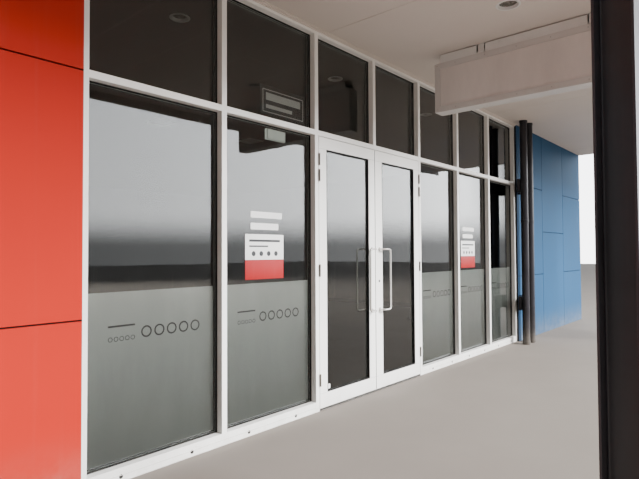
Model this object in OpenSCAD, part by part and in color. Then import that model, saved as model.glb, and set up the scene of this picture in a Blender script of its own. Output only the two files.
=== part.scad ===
// Single-storey shop building with a glazed shopfront, a street awning on steel posts,
// coloured panel cladding at both ends of the front and a low metal roof behind a parapet.
// Millimetres. +X runs along the front to the right, +Y into the building, +Z up.
// Every piece is laid out from the left end of the front face and then moved so that the
// origin lies on the ground at the middle of the whole plan.

/* [Building] */
// Width of the solid wall left of the shopfront
left_wall_w = 3625; // [1500:5:6000]
// Width of the solid wall right of the shopfront
right_wall_w = 3460; // [1500:10:6000]
// Depth from the front face to the rear face
shop_depth = 12000; // [8000:100:16000]
// Height of the parapet walls under the capping
parapet_z = 4780; // [4600:10:6000]
// Thickness of the two party walls
party_t = 190; // [150:10:300]
// Thickness of the front wall behind the cladding
front_t = 150; // [110:10:250]
// Thickness of the rear wall
rear_t = 190; // [150:10:300]
// Thickness of the shop floor finish above the paving
floor_t = 15; // [8:1:18]
// Height of the ceiling and of the awning soffit
soffit_z = 3321; // [3200:1:3400]
// Thickness of the shop ceiling
ceiling_t = 13; // [10:1:25]

/* [Shopfront] */
// Distance of the frames' faces behind the cladding
front_setback = 30; // [10:1:40]
// Number of glazed bays left of the doors
left_bays = 2; // [1:1:3]
// Spacing of the mullions left of the doors
left_bay_pitch = 1012; // [800:2:1200]
// Number of glazed bays right of the doors
right_bays = 3; // [1:1:4]
// Spacing of the mullions right of the doors
right_bay_pitch = 952; // [800:2:1200]
// Distance between the centres of the two door jambs
door_pitch = 1750; // [1500:10:2000]
// Face width of every frame member
mullion_w = 45; // [40:1:70]
// Depth of every frame member
frame_d = 100; // [90:1:140]
// Height of the sill and sub-sill together
sill_h = 85; // [60:1:140]
// Height of the sub-sill that carries the sill
sub_sill_h = 40; // [30:1:50]
// Height of the underside of the transom
transom_z = 2388; // [2200:1:2600]
// Thickness of the shopfront glass
glass_t = 10; // [6:1:14]
// Distance of the glass behind the frames' faces
glass_setback = 64; // [50:1:74]
// Depth of the glazing pockets
pocket = 12; // [8:1:16]
// Fitting gap round glass, lights and sleeves
fit_gap = 0.3; // [0.2:0.1:1]
// Projection of the lower step of the head trim
head_trim_out = 30; // [15:1:40]
// Height of each step of the head trim
head_trim_h = 10; // [8:1:25]

/* [Doors] */
// Thickness of a door leaf
leaf_t = 45; // [38:1:46]
// Height of the leaf's lower edge
leaf_bottom_z = 20; // [18:1:30]
// Gap between a leaf and the frame
leaf_gap = 6; // [5:0.5:8]
// Gap between the two meeting stiles
meeting_gap = 9; // [9:0.5:14]
// Width of the plain stiles
stile_w = 100; // [80:1:130]
// Width of the stile that holds the lock
lock_stile_w = 120; // [90:1:140]
// Height of the leaf's top rail
top_rail_h = 103; // [90:1:180]
// Height of the leaf's bottom rail
bottom_rail_h = 125; // [90:1:250]
// Thickness of the door glass
door_glass_t = 8; // [6:1:12]
// Projection of the stop behind the leaf
stop_w = 12; // [10:1:20]
// Height of the threshold plate
threshold_h = 12; // [6:1:13]

/* [Door fittings] */
// Radius of the hinge barrels
hinge_r = 7; // [5:0.5:8]
// Radius of the hinge pins
hinge_pin_r = 3.5; // [2.5:0.5:4]
// Distance of the pin axis in front of the leaf
hinge_out = 9.5; // [9:0.5:14]
// Thickness of the hinge plates
hinge_plate_t = 2; // [1.5:0.1:2.2]
// Depth of the hinge plates along the leaf's edge
hinge_plate_d = 32; // [20:1:40]
// Radius of the pull handle's tube
pull_r = 9.5; // [8:0.5:14]
// Length of the pull handle between its arms
pull_len = 600; // [300:10:900]
// Height of the pull handle's lower arm
pull_z = 798; // [600:2:1000]
// Distance from the leaf to the middle of the grip
pull_out = 60; // [50:1:90]
// Sideways crank of the grip towards the glass
pull_crank = 110; // [80:1:150]
// Radius of the handle's corner bends
pull_bend = 30; // [20:1:40]
// Height of the lock cylinder
lock_z = 1080; // [900:10:1200]
// Radius of the lock cylinder
lock_r = 8.5; // [7:0.5:12]

/* [Cladding] */
// Width of a cladding panel column
panel_w = 1150; // [900:5:1500]
// Height of a full cladding panel
panel_h = 1420; // [1000:10:1500]
// Height of the lowest joint of the plain columns
first_joint_z = 990; // [800:10:1100]
// Least height of a tray
least_panel_h = 300; // [100:20:400]
// Width of the recessed joints
joint_w = 10; // [6:1:20]
// Depth of the folded panel trays
panel_d = 30; // [20:1:40]
// Thickness of the panel skin
panel_skin = 4; // [3:0.5:6]

/* [Awning] */
// Distance from the front face to the fascia
awning_out = 3000; // [2800:10:3600]
// Thickness of the soffit lining
soffit_t = 10; // [6:1:18]
// Drop of the fascia below the soffit
fascia_drop = 90; // [10:1:120]
// Height of the fascia above the soffit
fascia_up = 650; // [600:10:800]
// Thickness of the fascia skin
fascia_t = 4; // [3:0.5:8]
// Depth of the fascia's folded foot
fascia_foot = 40; // [20:5:80]
// Depth of the fascia's top return
fascia_lip = 120; // [60:10:160]
// Fall of the awning roof towards the wall
awning_fall = 75; // [50:5:120]
// Width of the gutter along the wall
box_gutter_w = 300; // [295:5:340]
// Depth of the gutter along the wall
box_gutter_h = 95; // [60:5:95]
// Number of awning rafters
rafters = 10; // [8:1:12]
// Thickness of the awning rafters
rafter_t = 50; // [30:5:75]
// Spacing of the soffit joints
soffit_joint_pitch = 3600; // [2400:100:4800]
// Distance of the first soffit joint from the left end
soffit_joint_x = 2200; // [500:10:2350]

/* [Posts] */
// Distance of the end post's centre from the building's left end
post_inset = 285; // [175:5:900]
// Distance of the first post in front of the glazing from the left end
post_first_x = 4682; // [4200:2:5200]
// Spacing of the posts in front of the glazing
post_pitch = 7000; // [5400:50:7600]
// Distance from the front face to the posts' centre line
post_out = 2480; // [2300:5:2600]
// Depth of the post's H section
post_d = 152; // [120:1:210]
// Width of the post's flanges
post_w = 203; // [120:1:210]
// Flange thickness
post_flange_t = 10; // [7:0.5:14]
// Web thickness
post_web_t = 7; // [5:0.5:10]
// Radius of the fillets between web and flange
post_fillet = 9; // [6:0.5:12]
// Side of the square base plate
base_plate_w = 320; // [310:5:340]
// Thickness of the base plate
base_plate_t = 20; // [12:1:30]
// Spacing of the anchor holes
anchor_pitch = 260; // [245:5:275]
// Radius of the anchor holes
anchor_r = 11; // [8:0.5:14]
// Depth of the awning beam
beam_h = 203; // [180:1:210]
// Width of the awning beam
beam_w = 133; // [100:1:150]

/* [Lights] */
// Radius of the awning downlight's rim
soffit_light_r = 95; // [70:1:120]
// Distance of the awning downlights from the front face
soffit_light_out = 1400; // [1000:10:1800]
// Spacing of the awning downlights
soffit_light_pitch = 3500; // [3000:50:3600]
// Distance of the first awning downlight from the left end
soffit_light_x = 2850; // [2600:10:3000]
// Radius of the shop downlight's rim
shop_light_r = 85; // [60:1:110]
// Distance of the shop downlights behind the front face
shop_light_in = 740; // [500:10:1500]
// Spacing of the shop downlights
shop_light_pitch = 2040; // [1800:10:2200]
// Distance of the first shop downlight from the left end
shop_light_x = 4760; // [4500:10:5000]
// Length of a recessed ceiling light
troffer_l = 300; // [250:10:1300]
// Width of a recessed ceiling light
troffer_w = 300; // [250:10:620]
// Depth of a recessed ceiling light
troffer_h = 90; // [60:5:120]
// Distance of the recessed lights behind the front face
troffer_in = 3740; // [3500:20:5000]
// Spacing of the recessed lights
troffer_pitch = 1750; // [1400:10:1800]
// Distance of the first recessed light from the left end
troffer_x = 4825; // [4500:5:5200]
// Length of the exit light
exit_l = 390; // [300:10:450]
// Height of the exit light
exit_h = 160; // [120:5:200]
// Thickness of the exit light
exit_t = 50; // [30:5:80]
// Distance of the exit light from the left end
exit_x = 7650; // [7000:10:8600]
// Distance of the exit light behind the front face
exit_in = 2750; // [1500:50:3500]
// Length of the exit light's hanging rods
exit_drop = 80; // [40:5:200]

/* [Hanging sign] */
// Distance of the sign's left face from the left end
sign_x = 6924; // [6500:2:7200]
// Thickness of the sign
sign_t = 150; // [100:5:200]
// Length of the sign
sign_l = 1914; // [1200:2:2000]
// Height of the sign
sign_h = 485; // [300:5:600]
// Gap between the sign and the soffit
sign_gap = 90; // [60:5:150]
// Distance of the sign's inner end from the front face
sign_from = 440; // [400:10:600]
// Width of the sign's edge frame
sign_border = 55; // [30:1:80]
// Distance of the sign's skin behind its edge frame
sign_recess = 8; // [4:1:20]
// Wall thickness of the rails between the sign and the soffit
sign_rail_t = 3; // [2:0.5:5]
// Distance of those rails from the sign's ends
sign_rail_end = 60; // [0:5:120]
// Gap in those rails round each hanger
sign_rail_gap = 84; // [76:2:120]

/* [Drainage] */
// Radius of the front downpipes
pipe_r = 53; // [40:1:60]
// Distance of the front downpipes' centres from the wall
pipe_out = 172; // [150:1:220]
// Spacing of the two front downpipes
pipe_pitch = 229; // [180:1:300]
// Distance of the first downpipe's centre from the shopfront's right end
pipe_back = 172; // [150:1:200]
// Radius of the collars where the front downpipes meet the soffit
collar_r = 58; // [50:1:75]
// Height of those collars
collar_h = 30; // [15:1:60]
// Wall thickness of the downpipes
pipe_wall = 3; // [2:0.5:5]
// Height of the downpipe brackets
bracket_h = 200; // [100:10:300]
// Thickness of the bracket rail behind both downpipes
rail_t = 40; // [25:1:60]
// Width of the leg between the bracket rail and the wall
bracket_leg_w = 60; // [30:1:90]
// Distance of that leg from the shopfront's right end
bracket_leg_x = 37; // [20:1:60]
// Height of the lower brackets' middle
bracket_low_z = 600; // [400:10:900]
// Height of the upper brackets' middle
bracket_high_z = 2350; // [2000:10:2800]
// Radius of the round rear downpipes
rear_pipe_r = 45; // [35:1:60]
// Distance of the rear downpipes from the ends
rear_pipe_x = 1200; // [600:50:2000]
// Height of the lowest rear pipe bracket
rear_bracket_z = 500; // [200:50:900]
// Spacing of the rear pipe brackets
rear_bracket_pitch = 1500; // [1000:50:1500]
// Height of a rear pipe bracket
rear_bracket_h = 40; // [30:5:80]

/* [Roof] */
// Height of the roof sheeting's underside at the front wall
roof_front_z = 4350; // [4200:10:4500]
// Fall of the roof towards the rear
roof_fall = 350; // [200:10:450]
// Thickness of the roof sheeting
sheet_t = 4; // [2:0.5:6]
// Height of the sheeting's ribs
rib_h = 41; // [25:1:50]
// Spacing of the sheeting's ribs
rib_pitch = 406; // [300:2:700]
// Width of a rib at its foot
rib_foot = 60; // [40:1:90]
// Width of a rib at its top
rib_top = 30; // [20:1:40]
// Depth of the purlins
purlin_h = 200; // [150:5:250]
// Flange width of the purlins
purlin_w = 76; // [50:1:100]
// Thickness of the purlins
purlin_t = 4; // [2:0.5:6]
// Greatest spacing of the purlins
purlin_pitch = 1450; // [1000:50:1800]
// Distance of the first and last purlins from the walls
purlin_edge = 250; // [100:10:500]
// Width of the rear gutter
gutter_w = 150; // [120:5:200]
// Height of the rear gutter
gutter_h = 120; // [90:5:160]
// Thickness of the gutters
gutter_t = 3; // [2:0.5:5]
// Thickness of the parapet capping
cap_t = 3; // [2:0.5:5]
// Height of the capping's folded edges
cap_lip = 50; // [30:1:90]
// Distance of the capping's edges from the wall
cap_gap = 4; // [2:0.5:10]

/* [Hidden] */
$fn = 48;

// Positions along the front, measured from the left end
opening_x = left_wall_w;
left_jamb_x = opening_x + mullion_w / 2 + left_bays * left_bay_pitch;
right_jamb_x = left_jamb_x + door_pitch;
opening_end_x = right_jamb_x + right_bays * right_bay_pitch + mullion_w / 2;
building_w = opening_end_x + right_wall_w;
opening_w = opening_end_x - opening_x;
meeting_x = (left_jamb_x + right_jamb_x) / 2;

// Positions from the front face inwards
wall_y = panel_d;
wall_back_y = panel_d + front_t;
frame_back_y = front_setback + frame_d;
rear_in_y = shop_depth - rear_t;
plan_mid_y = (shop_depth + gutter_w - awning_out) / 2;

// Heights
transom_top_z = transom_z + mullion_w;
head_z = soffit_z - mullion_w;
upper_panel_z = first_joint_z + 2 * panel_h;
rafter_z = soffit_z + soffit_t + 20 + beam_h;
rafter_wall_h = 175;
rafter_front_h = rafter_wall_h + awning_fall;

// Door leaf
leaf_w = (door_pitch - mullion_w - 2 * leaf_gap - meeting_gap) / 2;
leaf_h = transom_z - leaf_gap - leaf_bottom_z;
stop_y = leaf_t + 7;
hinge_mids = [265, 1210, 2040, 2180];
hinge_l = 100;
hinge_slot = 1;
hinge_bore_gap = 0.3;
knuckle_l = hinge_l / 3;

// Roof slope
roof_run = shop_depth - wall_back_y;
roof_angle = atan(roof_fall / roof_run);
roof_len = roof_run / cos(roof_angle) + 40;
awning_run = awning_out - box_gutter_w;
awning_angle = atan(awning_fall / awning_run);

inner_w = building_w - 2 * party_t;
post_x = concat([post_inset],
    [for (x = [post_first_x : post_pitch : building_w - post_inset]) x]);
rafter_x = [for (i = [0 : rafters - 1]) i * (building_w - rafter_t) / (rafters - 1)];
soffit_light_xs = [for (i = [0 : 3]) soffit_light_x + i * soffit_light_pitch];
shop_light_xs = [for (i = [0 : 2]) shop_light_x + i * shop_light_pitch];
troffer_xs = [for (i = [0 : 3]) troffer_x + i * troffer_pitch];
pipe_xs = [for (i = [0 : 1]) opening_end_x - pipe_back + i * pipe_pitch];
soffit_joints = [for (x = [soffit_joint_x : soffit_joint_pitch : building_w - post_d]) x];
purlin_run = rear_in_y - wall_back_y - 2 * purlin_edge;
purlins = ceil(purlin_run / purlin_pitch) + 1;
purlin_ys = [for (i = [0 : purlins - 1])
    purlin_edge + i * (purlin_run - purlin_w) / (purlins - 1)];

// Moves a piece from the left end of the front face to the part's own origin
module site() {
    translate([-building_w / 2, -plan_mid_y, 0]) children();
}

// Moves a shopfront piece back to the plane of the frames' faces
module shopfront_site() {
    site() translate([0, front_setback, 0]) children();
}

// A plain block between two opposite corners
module block(from, to) {
    translate(from) cube(to - from);
}

// An outline drawn in Y and Z and extruded along X
module along_x(x, length) {
    translate([x, 0, 0])
        rotate([90, 0, 90])
            linear_extrude(length) children();
}

// A flat outline drawn in X and Z and extruded from the depth y inwards
module facing_front(y, depth) {
    translate([0, y + depth, 0])
        rotate([90, 0, 0])
            linear_extrude(depth) children();
}

module rect(x0, z0, x1, z1) {
    translate([x0, z0]) square([x1 - x0, z1 - z0]);
}

// WALLS AND FLOOR
module shop_floor() {
    color("slategray") site()
        linear_extrude(floor_t) {
            translate([party_t, wall_back_y]) square([inner_w, rear_in_y - wall_back_y]);
            translate([opening_x, frame_back_y])
                square([opening_w, wall_back_y - frame_back_y]);
        }
}

module party_wall(x) {
    color("gainsboro") site()
        block([x, wall_y, 0], [x + party_t, shop_depth, parapet_z]);
}

module left_party_wall() { party_wall(0); }

module right_party_wall() { party_wall(building_w - party_t); }

// The rear wall's top follows the slope of the roof
function roof_z(y) = roof_front_z - (y - wall_back_y) * roof_fall / roof_run;

module rear_wall() {
    color("gainsboro") site()
        along_x(party_t, inner_w)
            polygon([[rear_in_y, 0], [shop_depth, 0],
                [shop_depth, roof_z(shop_depth)], [rear_in_y, roof_z(rear_in_y)]]);
}

module front_wall_left() {
    color("gainsboro") site()
        block([party_t, wall_y, 0], [opening_x, wall_back_y, parapet_z]);
}

module front_wall_right() {
    color("gainsboro") site()
        block([opening_end_x, wall_y, 0], [building_w - party_t, wall_back_y, parapet_z]);
}

module front_wall_over() {
    color("gainsboro") site()
        block([opening_x, wall_y, soffit_z], [opening_end_x, wall_back_y, parapet_z]);
}

// CLADDING
// A folded tray with its open back against the wall
module panel_tray(x0, z0, x1, z1) {
    difference() {
        block([x0, 0, z0], [x1, panel_d, z1]);
        block([x0 + panel_skin, panel_skin, z0 + panel_skin],
            [x1 - panel_skin, panel_d + 1, z1 - panel_skin]);
    }
}

// One column of trays: joints every panel_h above z_first, where neither tray beside the
// joint gets too low
module panel_column(x0, x1, z_first, z_from, z_to) {
    joints = [for (k = [0 : 4]) let (z = z_first + k * panel_h)
        if (z > z_from + least_panel_h && z < z_to - least_panel_h) z];
    edges = concat([z_from - joint_w / 2], joints, [z_to + joint_w / 2]);
    for (i = [0 : len(edges) - 2])
        panel_tray(x0, edges[i] + joint_w / 2, x1, edges[i + 1] - joint_w / 2);
}

// Columns of trays counted from one end; the last one takes what is left
module panel_wall(x0, x1, z_from, z_to, from_right, staggered) {
    full = ceil((x1 - x0) / panel_w - 0.2);
    for (i = [0 : full - 1]) {
        near = i * panel_w + (i > 0 ? joint_w / 2 : 0);
        far = i == full - 1 ? x1 - x0 : (i + 1) * panel_w - joint_w / 2;
        z_first = staggered && i % 2 == 1 ? first_joint_z - panel_h / 2 : first_joint_z;
        if (from_right)
            panel_column(x1 - far, x1 - near, z_first, z_from, z_to);
        else
            panel_column(x0 + near, x0 + far, z_first, z_from, z_to);
    }
}

module left_cladding() {
    color("tomato") site() {
        panel_wall(0, opening_x, 0, soffit_z, false, false);
        panel_wall(0, opening_x, upper_panel_z, parapet_z, false, false);
    }
}

module right_cladding() {
    color("steelblue") site() {
        panel_wall(opening_end_x, building_w, 0, soffit_z, true, true);
        panel_wall(opening_end_x, building_w, upper_panel_z, parapet_z, true, true);
    }
}

module upper_cladding() {
    color("whitesmoke") site()
        panel_wall(opening_x + joint_w, opening_end_x - joint_w, upper_panel_z, parapet_z,
            false, false);
}

// SHOPFRONT
// Panes of a run of bays: left edge, right edge, lower edge, upper edge of each
function bay_panes(x, pitch, bays) = [
    for (i = [0 : bays - 1], level = [[sill_h, transom_z], [transom_top_z, head_z]])
        [x + i * pitch + mullion_w / 2, x + (i + 1) * pitch - mullion_w / 2, level[0], level[1]]
];

left_panes = bay_panes(opening_x + mullion_w / 2, left_bay_pitch, left_bays);
right_panes = bay_panes(right_jamb_x, right_bay_pitch, right_bays);
over_panes = [
    [left_jamb_x + mullion_w / 2, meeting_x - mullion_w / 2, transom_top_z, head_z],
    [meeting_x + mullion_w / 2, right_jamb_x - mullion_w / 2, transom_top_z, head_z]
];

all_panes = concat(left_panes, over_panes, right_panes);

// Frame members in front view, with the glazing pockets sunk into their edges
module glazed_frame(x0, x1, z0, z1, panes) {
    difference() {
        facing_front(0, frame_d)
            difference() {
                rect(x0, z0, x1, z1);
                for (p = panes) rect(p[0], p[2], p[1], p[3]);
            }
        for (p = all_panes)
            block([p[0] - pocket, glass_setback - fit_gap, p[2] - pocket],
                [p[1] + pocket, glass_setback + glass_t + fit_gap, p[3] + pocket]);
    }
}

module pane_sheets(panes) {
    for (p = panes)
        facing_front(glass_setback, glass_t)
            rect(p[0] - pocket + fit_gap, p[2] - pocket + fit_gap,
                p[1] + pocket - fit_gap, p[3] + pocket - fit_gap);
}

module shopfront_left() {
    color("white") shopfront_site() {
        glazed_frame(opening_x, left_jamb_x + mullion_w / 2, sub_sill_h, soffit_z, left_panes);
        block([left_jamb_x + mullion_w / 2, stop_y, threshold_h],
            [left_jamb_x + mullion_w / 2 + stop_w, frame_d, transom_z]);
        block([left_jamb_x - mullion_w / 2, 0, 0],
            [left_jamb_x + mullion_w / 2, frame_d, sub_sill_h]);
    }
}

module shopfront_right() {
    color("white") shopfront_site() {
        glazed_frame(right_jamb_x - mullion_w / 2, opening_end_x, sub_sill_h, soffit_z,
            right_panes);
        block([right_jamb_x - mullion_w / 2 - stop_w, stop_y, threshold_h],
            [right_jamb_x - mullion_w / 2, frame_d, transom_z]);
        block([right_jamb_x - mullion_w / 2, 0, 0],
            [right_jamb_x + mullion_w / 2, frame_d, sub_sill_h]);
    }
}

module shopfront_over_doors() {
    color("white") shopfront_site() {
        glazed_frame(left_jamb_x + mullion_w / 2, right_jamb_x - mullion_w / 2,
            transom_z, soffit_z, over_panes);
        block([left_jamb_x + mullion_w / 2 + stop_w, stop_y, transom_z - stop_w],
            [right_jamb_x - mullion_w / 2 - stop_w, frame_d, transom_z]);
    }
}

module sub_sills() {
    color("white") shopfront_site() {
        block([opening_x, 0, 0], [left_jamb_x - mullion_w / 2, frame_d, sub_sill_h]);
        block([right_jamb_x + mullion_w / 2, 0, 0], [opening_end_x, frame_d, sub_sill_h]);
    }
}

module door_threshold() {
    color("silver") shopfront_site()
        along_x(left_jamb_x + mullion_w / 2, door_pitch - mullion_w)
            polygon([[0, 0], [frame_d, 0], [frame_d, threshold_h], [12, threshold_h], [0, 4]]);
}

// Two-step trim where the head meets the soffit
module head_trim() {
    color("antiquewhite") shopfront_site()
        along_x(opening_x, opening_w)
            polygon([[-head_trim_out, soffit_z], [-head_trim_out, soffit_z - head_trim_h],
                [-head_trim_out / 2, soffit_z - head_trim_h],
                [-head_trim_out / 2, soffit_z - 2 * head_trim_h],
                [0, soffit_z - 2 * head_trim_h], [0, soffit_z]]);
}

module shopfront_glass() {
    color("lightblue", 0.4) shopfront_site() pane_sheets(all_panes);
}

// DOORS
// Everything on a leaf is drawn for the left one, from its hinge side at x = 0, and the
// right leaf is its mirror image.
module left_leaf_place() {
    shopfront_site() translate([left_jamb_x + mullion_w / 2 + leaf_gap, 0, 0]) children();
}

module right_leaf_place() {
    shopfront_site()
        translate([right_jamb_x - mullion_w / 2 - leaf_gap, 0, 0]) mirror([1, 0, 0]) children();
}

// Clear opening of a leaf's frame: left, lower, right, upper edge
function leaf_clear(meeting_w) = [stile_w, leaf_bottom_z + bottom_rail_h,
    leaf_w - meeting_w, leaf_bottom_z + leaf_h - top_rail_h];

module leaf_frame(meeting_w) {
    c = leaf_clear(meeting_w);
    mid = leaf_t / 2;
    difference() {
        facing_front(0, leaf_t)
            difference() {
                rect(0, leaf_bottom_z, leaf_w, leaf_bottom_z + leaf_h);
                rect(c[0], c[1], c[2], c[3]);
            }
        block([c[0] - pocket, mid - door_glass_t / 2 - fit_gap, c[1] - pocket],
            [c[2] + pocket, mid + door_glass_t / 2 + fit_gap, c[3] + pocket]);
    }
}

module leaf_glass(meeting_w) {
    c = leaf_clear(meeting_w);
    e = pocket - fit_gap;
    facing_front((leaf_t - door_glass_t) / 2, door_glass_t)
        rect(c[0] - e, c[1] - e, c[2] + e, c[3] + e);
}

// A straight length of handle tube from one point, along x, y or z
module tube_x(from, length) {
    translate(from) rotate([0, 90, 0]) cylinder(h = length, r = pull_r);
}

module tube_y(from, length) {
    translate(from) rotate([-90, 0, 0]) cylinder(h = length, r = pull_r);
}

module tube_z(from, length) {
    translate(from) cylinder(h = length, r = pull_r);
}

// A quarter bend of the handle tube about the Z axis, in the quarter +X +Y
module quarter_bend() {
    rotate_extrude(angle = 90)
        translate([pull_bend, 0]) circle(r = pull_r);
}

// Half of a cranked pull, from the middle of the grip up to its upper fixing. The fixing
// stands at x = 0 on the face y = 0, the grip stands at x = -pull_crank.
module pull_half() {
    half = pull_len / 2;
    tube_y([0, -pull_out + pull_bend, half], pull_out - pull_bend);
    translate([-pull_bend, -pull_out + pull_bend, half]) rotate([0, 0, -90]) quarter_bend();
    tube_x([-pull_crank + pull_bend, -pull_out, half], pull_crank - 2 * pull_bend);
    translate([-pull_crank + pull_bend, -pull_out, half - pull_bend])
        rotate([90, 0, 0]) rotate([0, 0, 90]) quarter_bend();
    tube_z([-pull_crank, -pull_out, 0], half - pull_bend);
}

module cranked_pull() {
    pull_half();
    mirror([0, 0, 1]) pull_half();
}

// The outer and the inner pull of a leaf, back to back through the meeting stile
module leaf_pulls(meeting_w) {
    translate([leaf_w - meeting_w * 0.55, 0, pull_z + pull_len / 2]) {
        cranked_pull();
        translate([0, leaf_t, 0]) mirror([0, 1, 0]) cranked_pull();
    }
}

// The pin axis stands in front of the gap between leaf and jamb
pin_x = -leaf_gap / 2;

// A knuckle with the plate that carries it. The plate lies on the edge whose face is at
// plate_x and grows towards the gap.
module hinge_knuckle(z0, z1, plate_x0, bored) {
    difference() {
        union() {
            translate([pin_x, -hinge_out, z0]) cylinder(h = z1 - z0, r = hinge_r);
            block([plate_x0, -hinge_out, z0], [plate_x0 + hinge_plate_t, 1, z1]);
        }
        if (bored)
            translate([pin_x, -hinge_out, z0 - 1])
                cylinder(h = z1 - z0 + 2, r = hinge_pin_r + hinge_bore_gap);
    }
}

module hinge_plate(mid, plate_x0) {
    block([plate_x0, 0, mid - hinge_l / 2],
        [plate_x0 + hinge_plate_t, hinge_plate_d, mid + hinge_l / 2]);
}

// The half of each hinge that turns with the leaf: the middle knuckle
module leaf_hinges() {
    for (mid = hinge_mids) {
        hinge_plate(mid, -hinge_plate_t);
        hinge_knuckle(mid - knuckle_l / 2, mid + knuckle_l / 2, -hinge_plate_t, true);
    }
}

// The half that stays on the jamb: two outer knuckles and the pin
module frame_hinges() {
    for (mid = hinge_mids) {
        hinge_plate(mid, -leaf_gap);
        for (side = [-1, 1]) {
            inner = mid + side * (knuckle_l / 2 + hinge_slot);
            outer = mid + side * hinge_l / 2;
            hinge_knuckle(min(inner, outer), max(inner, outer), -leaf_gap, false);
        }
        translate([pin_x, -hinge_out, mid - hinge_l / 2])
            cylinder(h = hinge_l, r = hinge_pin_r);
    }
}

module left_door() { color("white") left_leaf_place() leaf_frame(stile_w); }

module left_door_glass() { color("lightblue", 0.4) left_leaf_place() leaf_glass(stile_w); }

module left_door_pulls() { color("silver") left_leaf_place() leaf_pulls(stile_w); }

module left_door_hinges() { color("saddlebrown") left_leaf_place() leaf_hinges(); }

module right_door() { color("white") right_leaf_place() leaf_frame(lock_stile_w); }

module right_door_glass() {
    color("lightblue", 0.4) right_leaf_place() leaf_glass(lock_stile_w);
}

module right_door_pulls() { color("silver") right_leaf_place() leaf_pulls(lock_stile_w); }

module right_door_hinges() { color("saddlebrown") right_leaf_place() leaf_hinges(); }

// Lock cylinder with a raised rose on both faces of the lock stile
module right_door_lock() {
    color("dimgray") right_leaf_place()
        for (face = [0, 1])
            translate([leaf_w - lock_stile_w / 2, face * leaf_t, lock_z])
                mirror([0, face, 0])
                    rotate([90, 0, 0])
                        rotate_extrude()
                            polygon([[0, 0], [lock_r + 4, 0], [lock_r + 3, 2], [lock_r, 2],
                                [lock_r, 5], [0, 5]]);
}

module jamb_hinges() {
    color("saddlebrown") {
        left_leaf_place() frame_hinges();
        right_leaf_place() frame_hinges();
    }
}

// CEILING AND LIGHTS
module shop_ceiling() {
    color("white") site()
        difference() {
            block([party_t, wall_back_y, soffit_z], [building_w - party_t, rear_in_y,
                soffit_z + ceiling_t]);
            for (x = shop_light_xs)
                translate([x, shop_light_in, soffit_z - 1])
                    cylinder(h = ceiling_t + 2, r = shop_light_r - 10);
            for (x = troffer_xs)
                block([x - troffer_w / 2, troffer_in, soffit_z - 1],
                    [x + troffer_w / 2, troffer_in + troffer_l, soffit_z + ceiling_t + 1]);
        }
}

// A round light: a rim under the lining and a can above it
module downlight(rim_r) {
    rotate_extrude()
        polygon([[0, 20], [rim_r - 25, 20], [rim_r - 18, 0], [rim_r - 18, -4], [rim_r - 3, -4],
            [rim_r, -1], [rim_r, 0], [rim_r - 10 - fit_gap, 0], [rim_r - 10 - fit_gap, 80],
            [0, 80]]);
}

module shop_downlights() {
    color("white") site()
        for (x = shop_light_xs)
            translate([x, shop_light_in, soffit_z]) downlight(shop_light_r);
}

// Recessed box light: a rim under the ceiling, an open frame and a diffuser inside it
module ceiling_light() {
    rim = 15;
    difference() {
        union() {
            block([-troffer_w / 2 - rim, -rim, -5], [troffer_w / 2 + rim, troffer_l + rim, 0]);
            block([-troffer_w / 2 + fit_gap, fit_gap, -5],
                [troffer_w / 2 - fit_gap, troffer_l - fit_gap, troffer_h]);
        }
        block([-troffer_w / 2 + rim, rim, -6], [troffer_w / 2 - rim, troffer_l - rim, 12]);
    }
}

module ceiling_lights() {
    color("ivory") site()
        for (x = troffer_xs)
            translate([x, troffer_in, soffit_z]) ceiling_light();
}

// Blank exit light hung from the ceiling on two rods
module exit_light() {
    rod_r = 6;
    color("honeydew") site()
        translate([exit_x, exit_in, soffit_z - exit_drop - exit_h]) {
            cube([exit_l, exit_t, exit_h]);
            for (part = [0.25, 0.75])
                translate([part * exit_l, exit_t / 2, exit_h])
                    cylinder(h = exit_drop, r = rod_r);
        }
}

// AWNING
// Plan section of a post: two flanges parallel to the front, a web and four root fillets
module h_section() {
    half_d = post_d / 2;
    difference() {
        square([post_w, post_d], center = true);
        for (s = [-1, 1])
            difference() {
                translate([s * (post_w + post_web_t) / 4 + s * 0.5, 0])
                    square([(post_w - post_web_t) / 2 + 1, post_d - 2 * post_flange_t],
                        center = true);
                for (t = [-1, 1])
                    translate([s * post_web_t / 2, t * (half_d - post_flange_t)])
                        difference() {
                            translate([min(0, s * post_fillet), min(0, -t * post_fillet)])
                                square(post_fillet);
                            translate([s * post_fillet, -t * post_fillet])
                                circle(r = post_fillet);
                        }
            }
    }
}

post_top_z = soffit_z + soffit_t + 20;
cap_plate_t = 12;

module awning_posts() {
    color("dimgray") site()
        for (x = post_x)
            translate([x, -post_out, 0]) {
                difference() {
                    translate([-base_plate_w / 2, -base_plate_w / 2, 0])
                        cube([base_plate_w, base_plate_w, base_plate_t]);
                    for (sx = [-1, 1], sy = [-1, 1])
                        translate([sx * anchor_pitch / 2, sy * anchor_pitch / 2, -1])
                            cylinder(h = base_plate_t + 2, r = anchor_r);
                }
                translate([0, 0, base_plate_t])
                    linear_extrude(post_top_z - cap_plate_t - base_plate_t) h_section();
                translate([-post_w / 2, -post_d / 2, post_top_z - cap_plate_t])
                    cube([post_w, post_d, cap_plate_t]);
            }
}

// An I beam lying on the posts
module awning_beam() {
    flange = 8;
    web = 6;
    color("dimgray") site()
        along_x(fascia_t, building_w - 2 * fascia_t)
            translate([-post_out, post_top_z]) {
                translate([-beam_w / 2, 0]) square([beam_w, flange]);
                translate([-beam_w / 2, beam_h - flange]) square([beam_w, flange]);
                translate([-web / 2, flange]) square([web, beam_h - 2 * flange]);
            }
}

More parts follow.
